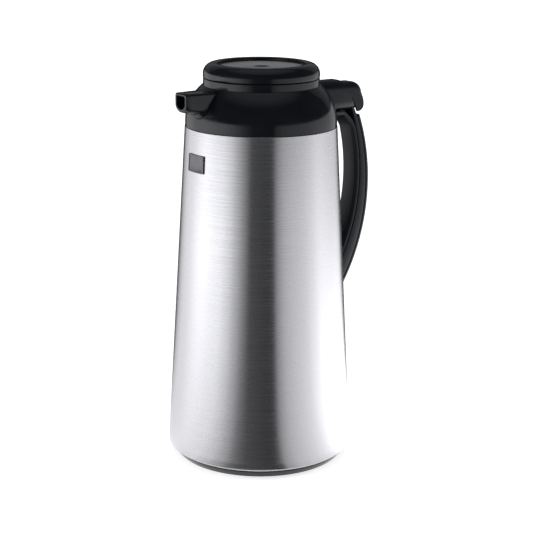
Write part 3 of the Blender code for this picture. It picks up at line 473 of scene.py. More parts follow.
def silvered_glass():
    """Mirror-like glass, slightly wavy where it was blown."""
    material, tree, shader = new_finish("silvered_glass", (0.80, 0.81, 0.80), 0.07, 0.9)
    wave = grain(tree, 22.0, 3.0, (1.0, 1.0, 0.4))
    tint(tree, shader, wave, (0.72, 0.73, 0.72), (0.86, 0.87, 0.86))
    roughen(tree, shader, wave, 0.05, 0.12)
    raise_by(tree, shader, wave, 0.15, 0.002)
    shader.inputs["Coat Weight"].default_value = 0.6
    return material


def silicone():
    """Milky rubber with a dusty surface."""
    material, tree, shader = new_finish("silicone", (0.50, 0.50, 0.47), 0.6)
    dust = grain(tree, 160.0, 6.0)
    pits = grain(tree, 2200.0, 2.0)
    tint(tree, shader, dust, (0.44, 0.44, 0.41), (0.58, 0.58, 0.55))
    roughen(tree, shader, dust, 0.52, 0.7)
    raise_by(tree, shader, pits, 0.15, 0.0001)
    shader.inputs["Subsurface Weight"].default_value = 0.1
    shader.inputs["Subsurface Radius"].default_value = (0.002, 0.002, 0.0015)
    return material


def inner_plastic():
    """Dark grey moulding of the parts inside, matt, with flow marks."""
    material, tree, shader = new_finish("inner_plastic", (0.05, 0.05, 0.055), 0.48)
    flow = grain(tree, 24.0, 4.0, (1.0, 1.0, 2.5), 1.2)
    pits = grain(tree, 1500.0, 2.0)
    tint(tree, shader, flow, (0.040, 0.041, 0.045), (0.062, 0.063, 0.068))
    roughen(tree, shader, flow, 0.40, 0.55)
    raise_by(tree, shader, pits, 0.1, 0.0001)
    return material


def spring_steel():
    """Bright drawn wire and turned pins."""
    material, tree, shader = new_finish("spring_steel", (0.60, 0.60, 0.62), 0.25, 1.0)
    drawn = grain(tree, 600.0, 4.0, (1.0, 1.0, 1.0))
    tint(tree, shader, drawn, (0.52, 0.52, 0.54), (0.68, 0.68, 0.70))
    roughen(tree, shader, drawn, 0.18, 0.34)
    raise_by(tree, shader, drawn, 0.08, 0.0001)
    return material


finishes = {
    "brushed_steel": brushed_steel(),
    "gloss_black": gloss_black(),
    "satin_black": satin_black(),
    "plate_grey": plate_grey(),
    "lid_plate_painted_reflection": lid_plate_painted_reflection(),
    "silvered_glass": silvered_glass(),
    "silicone": silicone(),
    "inner_plastic": inner_plastic(),
    "spring_steel": spring_steel(),
}


def refinish_kept_nodes():
    """Give each CAD node that still shows the finish its record slot names."""
    slots = {entry["node"]: entry["material_slot"] for entry in frame["record"]["subparts"]}
    for name, node in frame["nodes"].items():
        if not node.material_slots:
            node.data.materials.append(None)
        for place in node.material_slots:
            place.material = finishes[slots[name]]


# ---------------------------------------------------------------- body

def make_steel_body():
    """The steel cone with its rolled rim and the roll under its foot."""
    low = SHELL_FOOT_Z
    inner_top = SHELL_TOP_R - SHELL_WALL
    belly_in = SHELL_BELLY_R - SHELL_WALL
    rolled_r = SHELL_BELLY_R - SHELL_ROLL
    outline = eased([(inner_top, SHELL_TOP_Z, 0.2), (SHELL_TOP_R, SHELL_TOP_Z, 0.35),
                     (SHELL_BELLY_R, SHELL_BELLY_Z, 30.0), (SHELL_BELLY_R - 0.1, low, 2.6),
                     (rolled_r, low, 0.3), (rolled_r, low + SHELL_WALL, 0.2),
                     (belly_in - 0.1, low + SHELL_WALL, 1.8), (belly_in, SHELL_BELLY_Z)], steps=7)
    body = spun("steel_body", outline, steps=192)
    finish(body, "brushed_steel", "carafe", "outer_shell")


def make_base():
    """The black ring under the steel, its rubber pad and the bottom cap inside it."""
    plug_r, plug_top = SHELL_BELLY_R - SHELL_ROLL - CLEAR, 15.0
    under = SHELL_FOOT_Z - CLEAR
    bore, foot_r, foot_z, pad_low_r, pad_high_r, pad_deep = 55.5, 65.6, 0.5, 58.5, 64.0, 2.6
    ledge_r, ledge_low, ledge_top = bore - 3.0, 9.0, 11.5
    outline = eased([(bore + 1.5, plug_top, 0.5), (plug_r, plug_top, 0.8), (plug_r, under),
                     (SHELL_BELLY_R - 2.0, under, 0.5), (foot_r, foot_z, 1.4),
                     (pad_high_r + CLEAR, foot_z, 0.3), (pad_high_r + CLEAR, pad_deep + CLEAR),
                     (pad_low_r - CLEAR, pad_deep + CLEAR), (pad_low_r - CLEAR, foot_z, 0.3),
                     (bore, foot_z, 0.5), (bore, ledge_low), (ledge_r, ledge_low),
                     (ledge_r, ledge_top), (bore, ledge_top + 1.0)])
    finish(spun("base_skirt", outline, steps=192), "gloss_black", "carafe", "base_ring")
    pad = eased([(pad_low_r, pad_deep), (pad_high_r, pad_deep), (pad_high_r, 0.0, 0.6),
                 (pad_low_r, 0.0, 0.6)])
    finish(spun("foot_cushion", pad), "silicone", "carafe", "foot_pad")
    rim, rim_top = bore - CLEAR, 8.7
    under_cap, on_cap, cup_r, cup_top = 2.6, 5.2, 30.0, 13.0
    cap = eased([(0, on_cap), (cup_r, on_cap), (cup_r, cup_top, 0.5),
                 (cup_r + 2.0, cup_top, 0.5), (cup_r + 2.0, on_cap),
                 (rim - 2.0, on_cap), (rim - 2.0, rim_top, 0.4), (rim, rim_top, 0.4),
                 (rim, under_cap, 0.9), (22.0, under_cap, 1.5), (20.0, 3.4, 1.5),
                 (10.0, 3.4, 0.6), (9.0, under_cap, 0.3), (9.0, 0.0, 0.5), (0, 0.0)])
    bottom = spun("bottom_screw_cap", cap)
    key_circle_r, key_r, key_top = 40, 3.2, 3.6
    for turn in THIRDS:
        angle = math.radians(turn)
        x, y = key_circle_r * math.cos(angle), key_circle_r * math.sin(angle)
        cut(bottom, rod("key_recess", (x, y, 1.0), (x, y, key_top), key_r))
    finish(bottom, "gloss_black", "carafe", "bottom_cap")


# ---------------------------------------------------------------- shoulder and spout

def spout_section(x, half, low, high, steps=6):
    """A D lying down, flat on top and round below."""
    side = low + min(half * 0.75, (high - low) * 0.5)
    corner = min(1.8, half * 0.3)
    right = [(half, side)] + arc(half - corner, high - corner, corner, 0, 90, steps)
    outline = [(x, y, z) for y, z in right] + [(x, -y, z) for y, z in reversed(right)]
    under = arc(0, 0, 1.0, 180, 360, 3 * steps)[1:-1]
    return outline + [(x, half * a, side + (side - low) * b) for a, b in under]


def pipe_sections(grow):
    """The channel: level inside the shoulder, then rising to the mouth."""
    low, high, half = PIPE_LOW_Z - grow, PIPE_TOP_Z + grow, PIPE_HALF + grow
    mouth = (SPOUT_HALF - 0.2 + grow, SPOUT_LOW_Z + 0.3 - grow, SPOUT_TOP_Z - 0.1 + grow)
    return [spout_section(TUBE_R * -0.9, half, low, high),
            spout_section(PIPE_BEND_X, half, low, high),
            spout_section(SPOUT_TIP_X + 4.0, *mouth),
            spout_section(SPOUT_TIP_X - 4.0, *mouth)]


def pipe_to_dome(name, grow):
    """The pipe as far as just outside the dome."""
    first, bend, mouth, _ = pipe_sections(grow)
    share = (-DOME_FOOT_R - 3.0 - PIPE_BEND_X) / (SPOUT_TIP_X + 4.0 - PIPE_BEND_X)
    last = [Vector(a).lerp(Vector(b), share) for a, b in zip(bend, mouth)]
    return lofted(name, [first, bend, last])


def shoulder_cutter(name, grow=CLEAR):
    """The shoulder's outer shape grown, for pieces that seat on it."""
    outline = [(0, COLLAR_TOP_Z + 5), (COLLAR_R + grow, COLLAR_TOP_Z + 5),
               (COLLAR_R + grow, COLLAR_FOOT_Z + grow)]
    outline += dome_outline(grow)
    outline += [(DOME_FOOT_R + grow, SHELL_TOP_Z), (0, SHELL_TOP_Z)]
    return spun(name, outline)


def shell_cutter(name):
    """The steel cone grown by the clearance, down to below the handle."""
    end_z = 60.0
    outline = [(0, SHELL_TOP_Z), (shell_r(SHELL_TOP_Z) + CLEAR, SHELL_TOP_Z),
               (shell_r(end_z) + CLEAR, end_z), (0, end_z)]
    return spun(name, outline)


def ring_block(name, low_r, high_r, low_z, high_z, first_deg, last_deg, steps):
    """Part of a square-edged ring."""
    return spun(name, [(low_r, low_z), (high_r, low_z), (high_r, high_z), (low_r, high_z)], steps,
                first_deg, last_deg)


def make_shoulder():
    """Dome, collar with its three lips, and the neck tube inside."""
    inner_arc_r = DOME_ARC_R - DOME_WALL
    bore_out_r = BORE_R + DOME_WALL
    arc_top = math.degrees(math.acos((bore_out_r - DOME_CENTRE_R) / inner_arc_r))
    skirt_r = SHELL_TOP_R - SHELL_WALL - CLEAR - 0.1
    skirt_end = SHELL_TOP_Z - 10.0
    under_floor = BORE_FLOOR_Z - DOME_WALL
    tube_out = TUBE_R + TUBE_WALL
    outline = eased([(BORE_R, COLLAR_TOP_Z - 1.0), (BORE_R, COLLAR_TOP_Z, 0.4),
                     (COLLAR_R, COLLAR_TOP_Z, 0.7), (COLLAR_R, COLLAR_FOOT_Z + 0.1)])
    outline += dome_outline(0.0)
    outline += eased([(DOME_FOOT_R, SHELL_TOP_Z + CLEAR), (skirt_r, SHELL_TOP_Z + CLEAR),
                      (skirt_r, skirt_end), (skirt_r - DOME_WALL, skirt_end),
                      (skirt_r - DOME_WALL, DOME_ARC_Z - 3.0)])
    outline += arc(DOME_CENTRE_R, DOME_ARC_Z, inner_arc_r, 0.0, arc_top, 8)
    outline += [(bore_out_r, under_floor), (tube_out, under_floor), (tube_out, TUBE_END_Z + 0.3),
                (tube_out - 0.3, TUBE_END_Z), (TUBE_R + 0.3, TUBE_END_Z),
                (TUBE_R, TUBE_END_Z + 0.3), (TUBE_R, BORE_FLOOR_Z - 0.5),
                (TUBE_R + 0.5, BORE_FLOOR_Z), (BORE_R, BORE_FLOOR_Z)]
    shoulder = spun("shoulder_dome", outline, steps=160)
    lip_half_deg, rib_half_deg, rib_in_r = 20, 2, 35.1
    for turn in THIRDS:
        join(shoulder, ring_block("lip", LIP_R, BORE_R + 1, LIP_LOW_Z, LIP_TOP_Z,
                                  turn - lip_half_deg, turn + lip_half_deg, 16))
        join(shoulder, ring_block("lip_stop", LIP_R + 0.2, BORE_R + 1, LUG_LOW_Z, LIP_LOW_Z + 1,
                                  turn - 13, turn - 9.5, 3))
    for middle in (82, 98):
        join(shoulder, ring_block("key_rib", rib_in_r, BORE_R + 1, BORE_FLOOR_Z - 1,
                                  BORE_FLOOR_Z + 3, middle - rib_half_deg, middle + rib_half_deg,
                                  3))
    cut(shoulder, pipe_to_dome("pipe_hole", CLEAR))
    cut(shoulder, block("pour_window", (-TUBE_R - 4, POUR_LOW_Z), (-TUBE_R + 4, POUR_HIGH_Z),
                        POUR_HALF))
    cut(shoulder, block("tongue_slot", (BORE_R - 3, BORE_FLOOR_Z + 0.3),
                        (DOME_FOOT_R + 3, BARREL_TOP_Z - BARREL_WALL + 0.2), ARM_HALF + 1.0))
    finish(shoulder, "gloss_black", "carafe", "shoulder", smooth_deg=24)


def make_spout():
    """The horn outside the dome, hollow to the neck tube."""
    widen, drop = 0.107, 0.27
    sections = []
    for x, pinch in ((SPOUT_TIP_X, 0.7), (SPOUT_TIP_X + 0.2, 0.3), (SPOUT_TIP_X + 0.7, 0.0),
                     (-68.0, 0.0), (-62.0, 0.0), (-56.0, 0.0), (-50.0, 0.0), (-40.0, 0.0)):
        back = x - SPOUT_TIP_X
        sections.append(spout_section(x, SPOUT_HALF + widen * back - pinch,
                                      SPOUT_LOW_Z - drop * back + pinch, SPOUT_TOP_Z - pinch))
    spout = lofted("spout_horn", sections)
    cut(spout, shoulder_cutter("spout_seat", 0.05))
    join(spout, pipe_to_dome("spout_pipe", 0.0))
    cut(spout, lofted("spout_channel", pipe_sections(-SPOUT_WALL)))
    cut(spout, rod("neck_room", (0, 0, 250), (0, 0, 290), TUBE_R + TUBE_WALL + CLEAR, 128))
    soften(spout, 0.35, 60.0, 2)
    finish(spout, "gloss_black", "carafe", "spout")


def make_badge():
    """Plain plate on the steel under the spout, with a raised border and four rounded corners."""
    low, high, half_deg, face = 232.0, 245.3, 9.3, 1.1
    outline = [(shell_r(low) + CLEAR, low), (shell_r(low) + face, low),
               (shell_r(high) + face, high), (shell_r(high) + CLEAR, high)]
    plate = spun("maker_plate", outline, 24, 180 - half_deg, 180 + half_deg)
    border, sunk = 1.0, 0.35
    field = [(shell_r(low) + face - sunk, low + border), (shell_r(low) + 3, low + border),
             (shell_r(high) + 3, high - border), (shell_r(high) + face - sunk, high - border)]
    half_long = 9.8
    inset = half_deg * (1 - border / half_long)
    cut(plate, spun("plate_field", field, 24, 180 - inset, 180 + inset))
    soften(plate, 0.18, 50.0, 2)
    finish(plate, "plate_grey", "carafe", "badge_plate")


# ---------------------------------------------------------------- lid

def make_lid():
    """The cap that turns on the hub, and the plate sunk in its top."""
    crest_r = CAP_R - CAP_EDGE_R
    seat_z = INLAY_TOP_Z - INLAY_THICK - CLEAR
    rim = COLLAR_TOP_Z + CLEAR
    skirt_in = SKIRT_R - SKIRT_WALL
    keeper_low = HUB_LOW_Z - CLEAR - 1.4
    outline = eased([(0, seat_z), (INLAY_R + CLEAR, seat_z, 0.2),
                     (INLAY_R + CLEAR, CAP_TOP_Z - 0.2, 0.9), (crest_r - 0.5, CAP_TOP_Z)])
    outline += arc(crest_r, CAP_TOP_Z - CAP_EDGE_R, CAP_EDGE_R, 90, 0, 16)
    outline += eased([(CAP_R, CAP_TOP_Z - CAP_EDGE_R - 0.2), (CAP_R, rim, 0.6),
                      (SKIRT_R, rim, 0.3), (SKIRT_R, SKIRT_END_Z, 0.4),
                      (skirt_in, SKIRT_END_Z, 0.4), (skirt_in, keeper_low),
                      (HUB_R - 1.6, keeper_low + 0.4), (HUB_R - 1.6, HUB_LOW_Z - CLEAR),
                      (skirt_in, HUB_LOW_Z - CLEAR), (skirt_in, seat_z - 1.3), (0, seat_z - 1.3)])
    cap = spun("lid_shell", outline, steps=160)
    lug_half_deg = 18
    for turn in (60, 180, 300):
        join(cap, ring_block("lug", SKIRT_R - 0.8, LUG_R, LUG_LOW_Z, LUG_TOP_Z,
                             turn - lug_half_deg, turn + lug_half_deg, 16))
    finish(cap, "gloss_black", "cap", "lid_cap", smooth_deg=24)
    dimple_r, dimple_deep = 6.0, 0.9
    dimple = [(dimple_r * math.sin(a), INLAY_TOP_Z - dimple_deep * math.cos(a))
              for a in [math.radians(10 * i) for i in range(9)]]
    plate = dimple + eased([(dimple_r + 0.3, INLAY_TOP_Z), (INLAY_R, INLAY_TOP_Z, 0.5),
                            (INLAY_R, INLAY_TOP_Z - INLAY_THICK), (0, INLAY_TOP_Z - INLAY_THICK)])
    finish(spun("lid_top_plate", plate), "lid_plate_painted_reflection", "cap", "lid_inlay", slot="satin_black")


# ---------------------------------------------------------------- handle

def ray_on_arc(angle, centre_x, centre_z, radius, from_x, from_z):
    """Where a ray from (from_x, from_z) leaves a circle."""
    direction = Vector((math.cos(angle), math.sin(angle)))
    offset = Vector((from_x - centre_x, from_z - centre_z))
    along = offset.dot(direction)
    reach = -along + math.sqrt(along * along - offset.length_squared + radius * radius)
    return Vector((from_x + direction.x * reach, from_z + direction.y * reach))


def handle_points(angle_deg):
    """Inner and outer surface points of the handle's side view on one ray."""
    angle = math.radians(angle_deg)
    return (ray_on_arc(angle, INNER_ARC_X, INNER_ARC_Z, INNER_ARC_R, *HANDLE_MIDDLE),
            ray_on_arc(angle, OUTER_ARC_X, OUTER_ARC_Z, OUTER_ARC_R, *HANDLE_MIDDLE))


def spaced(first, last, count):
    """Even steps from first to last, both included."""
    return [first + (last - first) * i / (count - 1) for i in range(count)]


def strip_section(start, out, sides):
    """A section across the handle: (depth, y) pairs along out from start, mirrored in y."""
    half = [(start + out * depth, y) for depth, y in sides]
    outline = [(spot.x, y, spot.y) for spot, y in half]
    return outline + [(x, -y, z) for x, y, z in reversed(outline)]


def corner_steps(half, depth_of, radius, outward):
    """(depth, y) pairs round one corner of a strip's section."""
    if outward:
        spokes = arc(0, 0, radius, 90, 0, 6)
        return [(depth_of - radius + a, half - radius + b) for a, b in spokes]
    spokes = arc(0, 0, radius, 0, 90, 6)
    return [(depth_of + radius - a, half - radius + b) for a, b in spokes]


def make_handle_grip():
    """The strip under the fingers, which turns forward below the lever housing."""
    ceiling = BARREL_LOW_Z - CLEAR
    half = HANDLE_HALF - 0.4
    sides = corner_steps(half, 0.0, 2.6, False)
    sides += [(GRIP_THICK - 0.3, half), (GRIP_THICK, half - 0.3)]
    front_x, bend_r, bend_steps = 50.0, 9.0, 14
    start, _ = handle_points(16.5)
    start_out = (start - Vector((INNER_ARC_X, INNER_ARC_Z))).normalized()
    centre = start - start_out * bend_r
    lift = ceiling - GRIP_THICK - bend_r - centre.y
    sections = [strip_section(Vector((front_x, ceiling - GRIP_THICK)), Vector((0, 1)), sides)]
    first = math.atan2(start_out.y, start_out.x)
    for step in range(bend_steps + 1):
        angle = math.pi / 2 + (first - math.pi / 2) * step / bend_steps
        out = Vector((math.cos(angle), math.sin(angle)))
        rise = lift * (1 - step / bend_steps) ** 2
        sections.append(strip_section(centre + out * bend_r + Vector((0, rise)), out, sides))
    for angle in spaced(15, -36, 36):
        point, _ = handle_points(angle)
        out = (point - Vector((INNER_ARC_X, INNER_ARC_Z))).normalized()
        sections.append(strip_section(point, out, sides))
    grip = lofted("finger_grip", sections)
    cut(grip, shoulder_cutter("grip_seat"))
    cut(grip, shell_cutter("grip_shell_seat"))
    finish(grip, "satin_black", "carafe", "handle_grip")


def make_handle_cover():
    """The strip along the back, from under the lever to the handle's foot."""
    inner_r = OUTER_ARC_R - COVER_THICK
    sides = [(0.0, HANDLE_HALF - 0.5), (0.35, HANDLE_HALF - 0.15)]
    sides += corner_steps(HANDLE_HALF, COVER_THICK, 3.1, True)
    sections = []
    for angle_deg in spaced(21.5, HANDLE_FOOT_DEG, 46):
        angle = math.radians(angle_deg)
        out = Vector((math.cos(angle), math.sin(angle)))
        base = Vector((OUTER_ARC_X, OUTER_ARC_Z)) + out * inner_r
        sections.append(strip_section(base, out, sides))
    cover = lofted("handle_back", sections)
    cut(cover, shell_cutter("cover_shell_seat"))
    soften(cover, 0.5, 60.0, 3)
    finish(cover, "satin_black", "carafe", "handle_cover")


def barrel_outline(x, inset, steps=8):
    """The lever housing's rounded section at one x, drawn in by inset."""
    half, low, high = BARREL_HALF - inset, BARREL_LOW_Z + inset, BARREL_TOP_Z - inset
    corner = BARREL_CORNER_R - inset
    outline = []
    for y, z, start in ((half - corner, high - corner, 0), (corner - half, high - corner, 90),
                        (corner - half, low + corner, 180), (half - corner, low + corner, 270)):
        outline += [(x, a, b) for a, b in arc(y, z, corner, start, start + 90, steps)]
    return outline


def make_handle_frame():
    """The lever housing and the handle's middle layer, in one moulding."""
    housing = lofted("handle_core", [barrel_outline(44, 0), barrel_outline(100, 0)])
    sections = []
    for angle_deg in spaced(24.6, HANDLE_FOOT_DEG, 44):
        inner, outer = handle_points(angle_deg)
        out = (outer - inner).normalized()
        deep = (outer - inner).length - COVER_THICK - CLEAR
        near = GRIP_THICK + CLEAR
        half = HANDLE_HALF
        sides = [(near, half - 1.0), (near + 0.3, half - 0.3), (near + 1.0, half),
                 (deep - 0.7, half), (deep - 0.2, half - 0.2), (deep, half - 0.7)]
        sections.append(strip_section(inner, out, sides))
    join(housing, lofted("frame_sweep", sections))
    cut(housing, lofted("housing_room", [barrel_outline(40, BARREL_WALL),
                                         barrel_outline(104, BARREL_WALL)]))
    centre = (OUTER_ARC_X, OUTER_ARC_Z)
    behind = arc(*centre, 400, -60, 60, 8) + arc(*centre, FRAME_ARC_R, 60, -60, 160)
    cut(housing, slab("behind_frame", behind, 20))
    cut(housing, shoulder_cutter("frame_seat"))
    cut(housing, shell_cutter("frame_shell_seat"))
    soften(housing, 0.3, 60.0, 2)
    finish(housing, "satin_black", "carafe", "handle_frame")


# ---------------------------------------------------------------- thumb lever

def button_body(name, inset, front):
    """A box with a rounded crown and heel at its rear and rounded side edges.

    Drawn in by inset it is the room inside the button, which runs out below.
    """
    half = BARREL_HALF - BARREL_WALL - CLEAR - inset
    top = BARREL_TOP_Z - BARREL_WALL - CLEAR - inset
    rear = BUTTON_REAR_X - inset
    low = BUTTON_LOW_Z - (4 if inset else 0)
    crown, heel, corner = 10.0 - inset, 5.4, 5.4 - inset
    outline = [(front, top)] + arc(rear - crown, top - crown, crown, 90, 0, 10)
    if inset:
        outline += [(rear, low), (front, low)]
    else:
        outline += arc(rear - heel, low + heel, heel, 0, -90, 6) + [(front, low)]
    body = slab(name, outline, half)
    bpy.ops.object.mode_set(mode='EDIT')
    bpy.ops.mesh.select_mode(type='EDGE')
    bpy.ops.mesh.select_all(action='DESELECT')
    mesh = bmesh.from_edit_mesh(body.data)
    for edge in mesh.edges:
        ends = [corner_point.co / MM for corner_point in edge.verts]
        on_side = all(abs(abs(end.y) - half) < 0.01 for end in ends)
        on_side = on_side and ends[0].y * ends[1].y > 0
        above = all(end.z > low + heel + 0.2 for end in ends)
        upright_front = all(abs(end.x - front) < 0.01 for end in ends)
        if on_side and above and not upright_front:
            edge.select_set(True)
    bmesh.update_edit_mesh(body.data)
    bpy.ops.mesh.bevel(offset=corner * MM, segments=8, affect='EDGES', clamp_overlap=False)
    bpy.ops.mesh.select_mode(type='VERT')
    bpy.ops.object.mode_set(mode='OBJECT')
    return close_up(body)


def make_lever():
    """Thumb button, arm and tongue in one moulding."""
    rear, low = BUTTON_REAR_X, BUTTON_LOW_Z
    front, room_x, room_top, button_wall = PIN_X + 1.6, 88.2, 277.5, 1.8
    lever = button_body("thumb_button", 0.0, front)
    cut(lever, button_body("button_room", button_wall, front - 4))
    clear = [(front - 6, low - 6), (room_x, low - 6), (room_x, low), (85.8, 271.6),
             (82.9, room_top), (front - 6, room_top)]
    cut(lever, slab("button_front_room", clear, 14))
    arm = [(TONGUE_TIP_X, TONGUE_LOW_Z), (TONGUE_TIP_X, TONGUE_TOP_Z), (48, TONGUE_TOP_Z),
           (62, 284.0), (rear - 1.2, 284.0), (rear - 1.2, 278.0), (85, 275.2), (76.8, 275.2),
           (75.0, 272.0), (PIN_X - 3, 272.0), (60, 281.0), (54, TONGUE_LOW_Z)]
    join(lever, slab("lever_arm", arm, ARM_HALF))
    join(lever, rod("lever_boss", (PIN_X, -ARM_HALF, PIN_Z), (PIN_X, ARM_HALF, PIN_Z), BOSS_R))
    cut(lever, rod("lever_bore", (PIN_X, -9, PIN_Z), (PIN_X, 9, PIN_Z), PIN_BORE_R))
    finish(lever, "satin_black", "lever", "thumb_lever")


# ---------------------------------------------------------------- springs

def coil(name, radius, wire_r, low, high, turns, centre_x):
    """A round wire wound along Z, its first and last half turns closed flat."""
    per_turn, wire_sides = 36, 12
    count = turns * per_turn
    sections = []
    for step in range(count + 1):
        angle = 2 * math.pi * step / per_turn
        share = min(max((step - per_turn / 2) / (count - per_turn), 0.0), 1.0)
        height = low + wire_r + share * (high - low - 2 * wire_r)
        outward = Vector((math.cos(angle), math.sin(angle), 0))
        centre = Vector((centre_x, 0, height)) + outward * radius
        ring = arc(0, 0, wire_r, 0, 360, wire_sides)[:-1]
        sections.append([centre + outward * a + Vector((0, 0, b)) for a, b in ring])
    return lofted(name, sections)


def make_springs():
    """The two return springs, which the lever shortens in use; each is wound here at one fixed
    length.
    """
    valve_low, valve_high = 288.3, 299.7
    valve = coil("valve_return_spring", 7.5, 0.5, valve_low, valve_high, turns=5, centre_x=0.0)
    finish(valve, "spring_steel", "stopper", "valve_spring")
    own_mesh(valve)
    lever_low, lever_high = 270.1, 274.6
    lever = coil("lever_return_spring", 1.9, 0.35, lever_low, lever_high, turns=3, centre_x=79.5)
    finish(lever, "spring_steel", "carafe", "lever_spring")
    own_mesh(lever)


# ---------------------------------------------------------------- stage

CAMERA_BEARING_DEG = 234.0      # direction from the carafe to the camera, round from +X
CAMERA_PLACE = (-0.6407, -0.8818, 0.443)
CAMERA_TURN_DEG, CAMERA_TILT_DEG, CAMERA_ROLL_DEG = -36.0, 74.96, 0.346
CAMERA_LENS_MM, CAMERA_SHIFT = 97.1, 0.0118
CARAFE_MIDDLE_Z = 0.15


def round_the_carafe(bearing_deg, distance, height):
    """A place whose bearing is counted from the camera, positive towards the spout."""
    angle = math.radians(CAMERA_BEARING_DEG - bearing_deg)
    return Vector((distance * math.cos(angle), distance * math.sin(angle), height))


def softbox(name, bearing_deg, distance, height, width, tall, power):
    """A soft lamp, in metres and watts, turned to the carafe's middle."""
    light = bpy.data.lights.new(name, 'AREA')
    light.shape = 'RECTANGLE'
    light.size = width
    light.size_y = tall
    light.energy = power
    lamp = bpy.data.objects.new(name, light)
    bpy.context.scene.collection.objects.link(lamp)
    lamp.location = round_the_carafe(bearing_deg, distance, height)
    facing = Vector((0, 0, CARAFE_MIDDLE_Z)) - lamp.location
    lamp.rotation_euler = facing.to_track_quat('-Z', 'Y').to_euler()
    lamp.visible_glossy = False


def make_floor():
    """A pale floor that glows a little, so that it stays even out to its edge."""
    bpy.ops.object.select_all(action='DESELECT')
    bpy.ops.mesh.primitive_plane_add(size=30.0, location=(0, 0, 0))
    floor = bpy.context.object
    floor.name = "pale_floor"
    material, tree, shader = new_finish("pale_floor", (0.86, 0.86, 0.86), 0.75)
    shader.inputs["Emission Color"].default_value = (1.0, 1.0, 1.0, 1.0)
    shader.inputs["Specular IOR Level"].default_value = 0.1
    place = tree.nodes.new("ShaderNodeTexCoord")
    away = how_far(tree, place.outputs["Object"])
    tree.links.new(spread(tree, away, 0.74, 1.0, 0.5, 2.5), shader.inputs["Emission Strength"])
    paper = grain(tree, 14.0, 5.0)
    tint(tree, shader, paper, (0.85, 0.85, 0.85), (0.87, 0.87, 0.87))
    floor.data.materials.append(material)


def glow_by_bearing(name, near_stops, far_stops, near_r, far_r):
    """A reflector's light, stop by stop round the carafe, near the carafe and far from it.

    A stop is (bearing from the camera, light); the bearing is positive towards the spout.
    """
    material = bpy.data.materials.new(name)
    material.use_nodes = True
    tree = material.node_tree
    tree.nodes.clear()
    place = tree.nodes.new("ShaderNodeTexCoord")
    turn = tree.nodes.new("ShaderNodeMapping")
    turn.inputs["Rotation"].default_value = (0, 0, math.radians(-CAMERA_BEARING_DEG))
    tree.links.new(place.outputs["Object"], turn.inputs["Vector"])
    wheel = tree.nodes.new("ShaderNodeTexGradient")
    wheel.gradient_type = 'RADIAL'
    tree.links.new(turn.outputs["Vector"], wheel.inputs["Vector"])
    ramps = []
    for stops in (near_stops, far_stops):
        ramp = tree.nodes.new("ShaderNodeValToRGB")
        ramp.color_ramp.interpolation = 'EASE'
        places = ramp.color_ramp.elements
        places.remove(places[0])
        for number, (bearing, light) in enumerate(sorted(stops, reverse=True)):
            at = (180.0 - bearing) / 360.0
            stop = places[0] if number == 0 else places.new(at)
            stop.position = at
            stop.color = (light, light, light * 1.03, 1.0)
        tree.links.new(wheel.outputs["Fac"], ramp.inputs["Fac"])
        ramps.append(ramp.outputs["Color"])
    share = spread(tree, how_far(tree, place.outputs["Object"]), 0.0, 1.0, near_r, far_r)
    mix = tree.nodes.new("ShaderNodeMix")
    mix.data_type = 'RGBA'
    tree.links.new(share, mix.inputs["Factor"])
    tree.links.new(ramps[0], mix.inputs["A"])
    tree.links.new(ramps[1], mix.inputs["B"])
    glow = tree.nodes.new("ShaderNodeEmission")
    glow.inputs["Strength"].default_value = 2.0
    tree.links.new(mix.outputs["Result"], glow.inputs["Color"])
    out = tree.nodes.new("ShaderNodeOutputMaterial")
    tree.links.new(glow.outputs["Emission"], out.inputs["Surface"])
    return material


def only_in_reflections(card):
    """Keep a card out of sight and out of the light, so that only gloss shows it."""
    card.visible_camera = False
    card.visible_diffuse = False
    card.visible_shadow = False
    card.visible_transmission = False


def make_reflectors():
    """A low tray of light round the carafe, open before it, and a high card behind it."""
    outline = [(76, 1), (1600, 1), (1600, 430), (1601, 430), (1601, 0), (76, 0)]
    tray = spun("low_reflector", outline, steps=96)
    near = [(180, 0.01), (148, 0.02), (138, 0.36), (120, 0.52), (84, 0.62), (57, 0.52),
            (43, 0.37), (33, 0.22), (21, 0.06), (14, 0.04), (-18, 0.02), (-22, 0.22),
            (-35, 0.38), (-47, 0.48), (-60, 0.60), (-73, 0.85), (-88, 1.2), (-126, 1.2),
            (-138, 0.9), (-148, 0.02), (-180, 0.01)]
    far = [(180, 0.01), (154, 0.02), (146, 0.34), (120, 0.62), (84, 1.1), (57, 0.97),
           (43, 0.74), (33, 0.46), (21, 0.22), (14, 0.04), (-18, 0.02), (-22, 0.24),
           (-35, 0.40), (-47, 0.45), (-60, 0.48), (-73, 0.52), (-88, 0.58), (-126, 0.42),
           (-144, 0.36), (-152, 0.02), (-180, 0.01)]
    tray.data.materials.append(glow_by_bearing("low_reflector", near, far, 0.15, 1.6))
    only_in_reflections(tray)
    side_deg, distance, low, top = 128, 1.5, 0.45, 1.3
    corners = [round_the_carafe(bearing, distance, height) / MM
               for bearing, height in ((side_deg, low), (-side_deg, low),
                                       (-side_deg, top), (side_deg, top))]
    high = blank("back_reflector", corners, 'NGON')
    material = bpy.data.materials.new("back_reflector")
    material.use_nodes = True
    shader = material.node_tree.nodes["Principled BSDF"]
    shader.inputs["Base Color"].default_value = (0, 0, 0, 1)
    shader.inputs["Emission Color"].default_value = (0.95, 0.98, 1.0, 1)
    shader.inputs["Emission Strength"].default_value = 0.16
    high.data.materials.append(material)
    only_in_reflections(high)


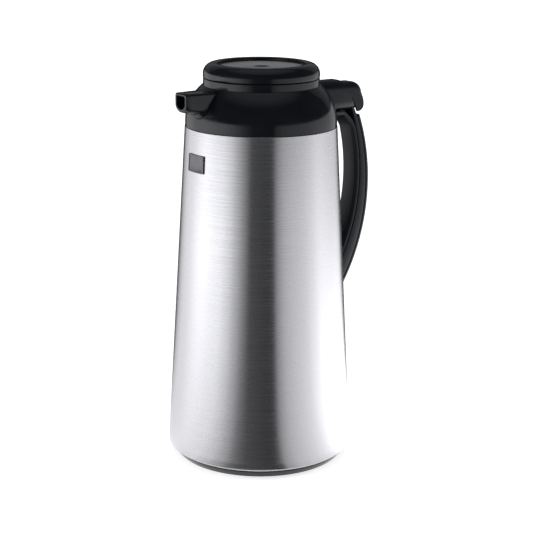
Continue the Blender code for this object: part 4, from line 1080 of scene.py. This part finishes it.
def make_world():
    """White paper behind the floor's edge; the rest of the room is dim."""
    world = bpy.data.worlds.new("studio")
    bpy.context.scene.world = world
    world.use_nodes = True
    tree = world.node_tree
    background = tree.nodes["Background"]
    background.inputs["Color"].default_value = (0.9, 0.95, 1.0, 1.0)
    place = tree.nodes.new("ShaderNodeTexCoord")
    split = tree.nodes.new("ShaderNodeSeparateXYZ")
    tree.links.new(place.outputs["Generated"], split.inputs["Vector"])
    tree.links.new(spread(tree, split.outputs["Z"], 0.06, 0.45, 0.75, 0.95),
                   background.inputs["Strength"])
    paper = tree.nodes.new("ShaderNodeBackground")
    paper.inputs["Color"].default_value = (1.0, 1.0, 1.0, 1.0)
    paper.inputs["Strength"].default_value = 1.0
    path = tree.nodes.new("ShaderNodeLightPath")
    mix = tree.nodes.new("ShaderNodeMixShader")
    tree.links.new(path.outputs["Is Camera Ray"], mix.inputs["Fac"])
    tree.links.new(background.outputs["Background"], mix.inputs[1])
    tree.links.new(paper.outputs["Background"], mix.inputs[2])
    tree.links.new(mix.outputs["Shader"], tree.nodes["World Output"].inputs["Surface"])


def make_camera():
    """The camera: a long lens a little above the lid, looking down at the carafe."""
    lens = bpy.data.cameras.new("camera")
    lens.lens = CAMERA_LENS_MM
    lens.sensor_width = 36.0
    lens.shift_x = CAMERA_SHIFT
    lens.clip_start = 0.05
    camera = bpy.data.objects.new("camera", lens)
    bpy.context.scene.collection.objects.link(camera)
    camera.location = CAMERA_PLACE
    turn = Matrix.Rotation(math.radians(CAMERA_TURN_DEG), 3, 'Z')
    tilt = Matrix.Rotation(math.radians(CAMERA_TILT_DEG), 3, 'X')
    roll = Matrix.Rotation(math.radians(CAMERA_ROLL_DEG), 3, 'Z')
    camera.rotation_euler = (turn @ tilt @ roll).to_euler()
    bpy.context.scene.camera = camera


refinish_kept_nodes()
make_steel_body()
make_base()
make_shoulder()
make_spout()
make_badge()
make_lid()
make_handle_grip()
make_handle_cover()
make_handle_frame()
make_lever()
make_springs()
make_floor()
make_reflectors()
make_world()
softbox("left_softbox", 70, 2.4, 1.6, 1.8, 1.4, 26)
softbox("right_softbox", -95, 2.4, 1.6, 1.8, 1.4, 22)
softbox("back_softbox", 180, 2.4, 2.2, 2.0, 1.4, 20)
make_camera()
bpy.context.scene.view_settings.view_transform = 'Standard'
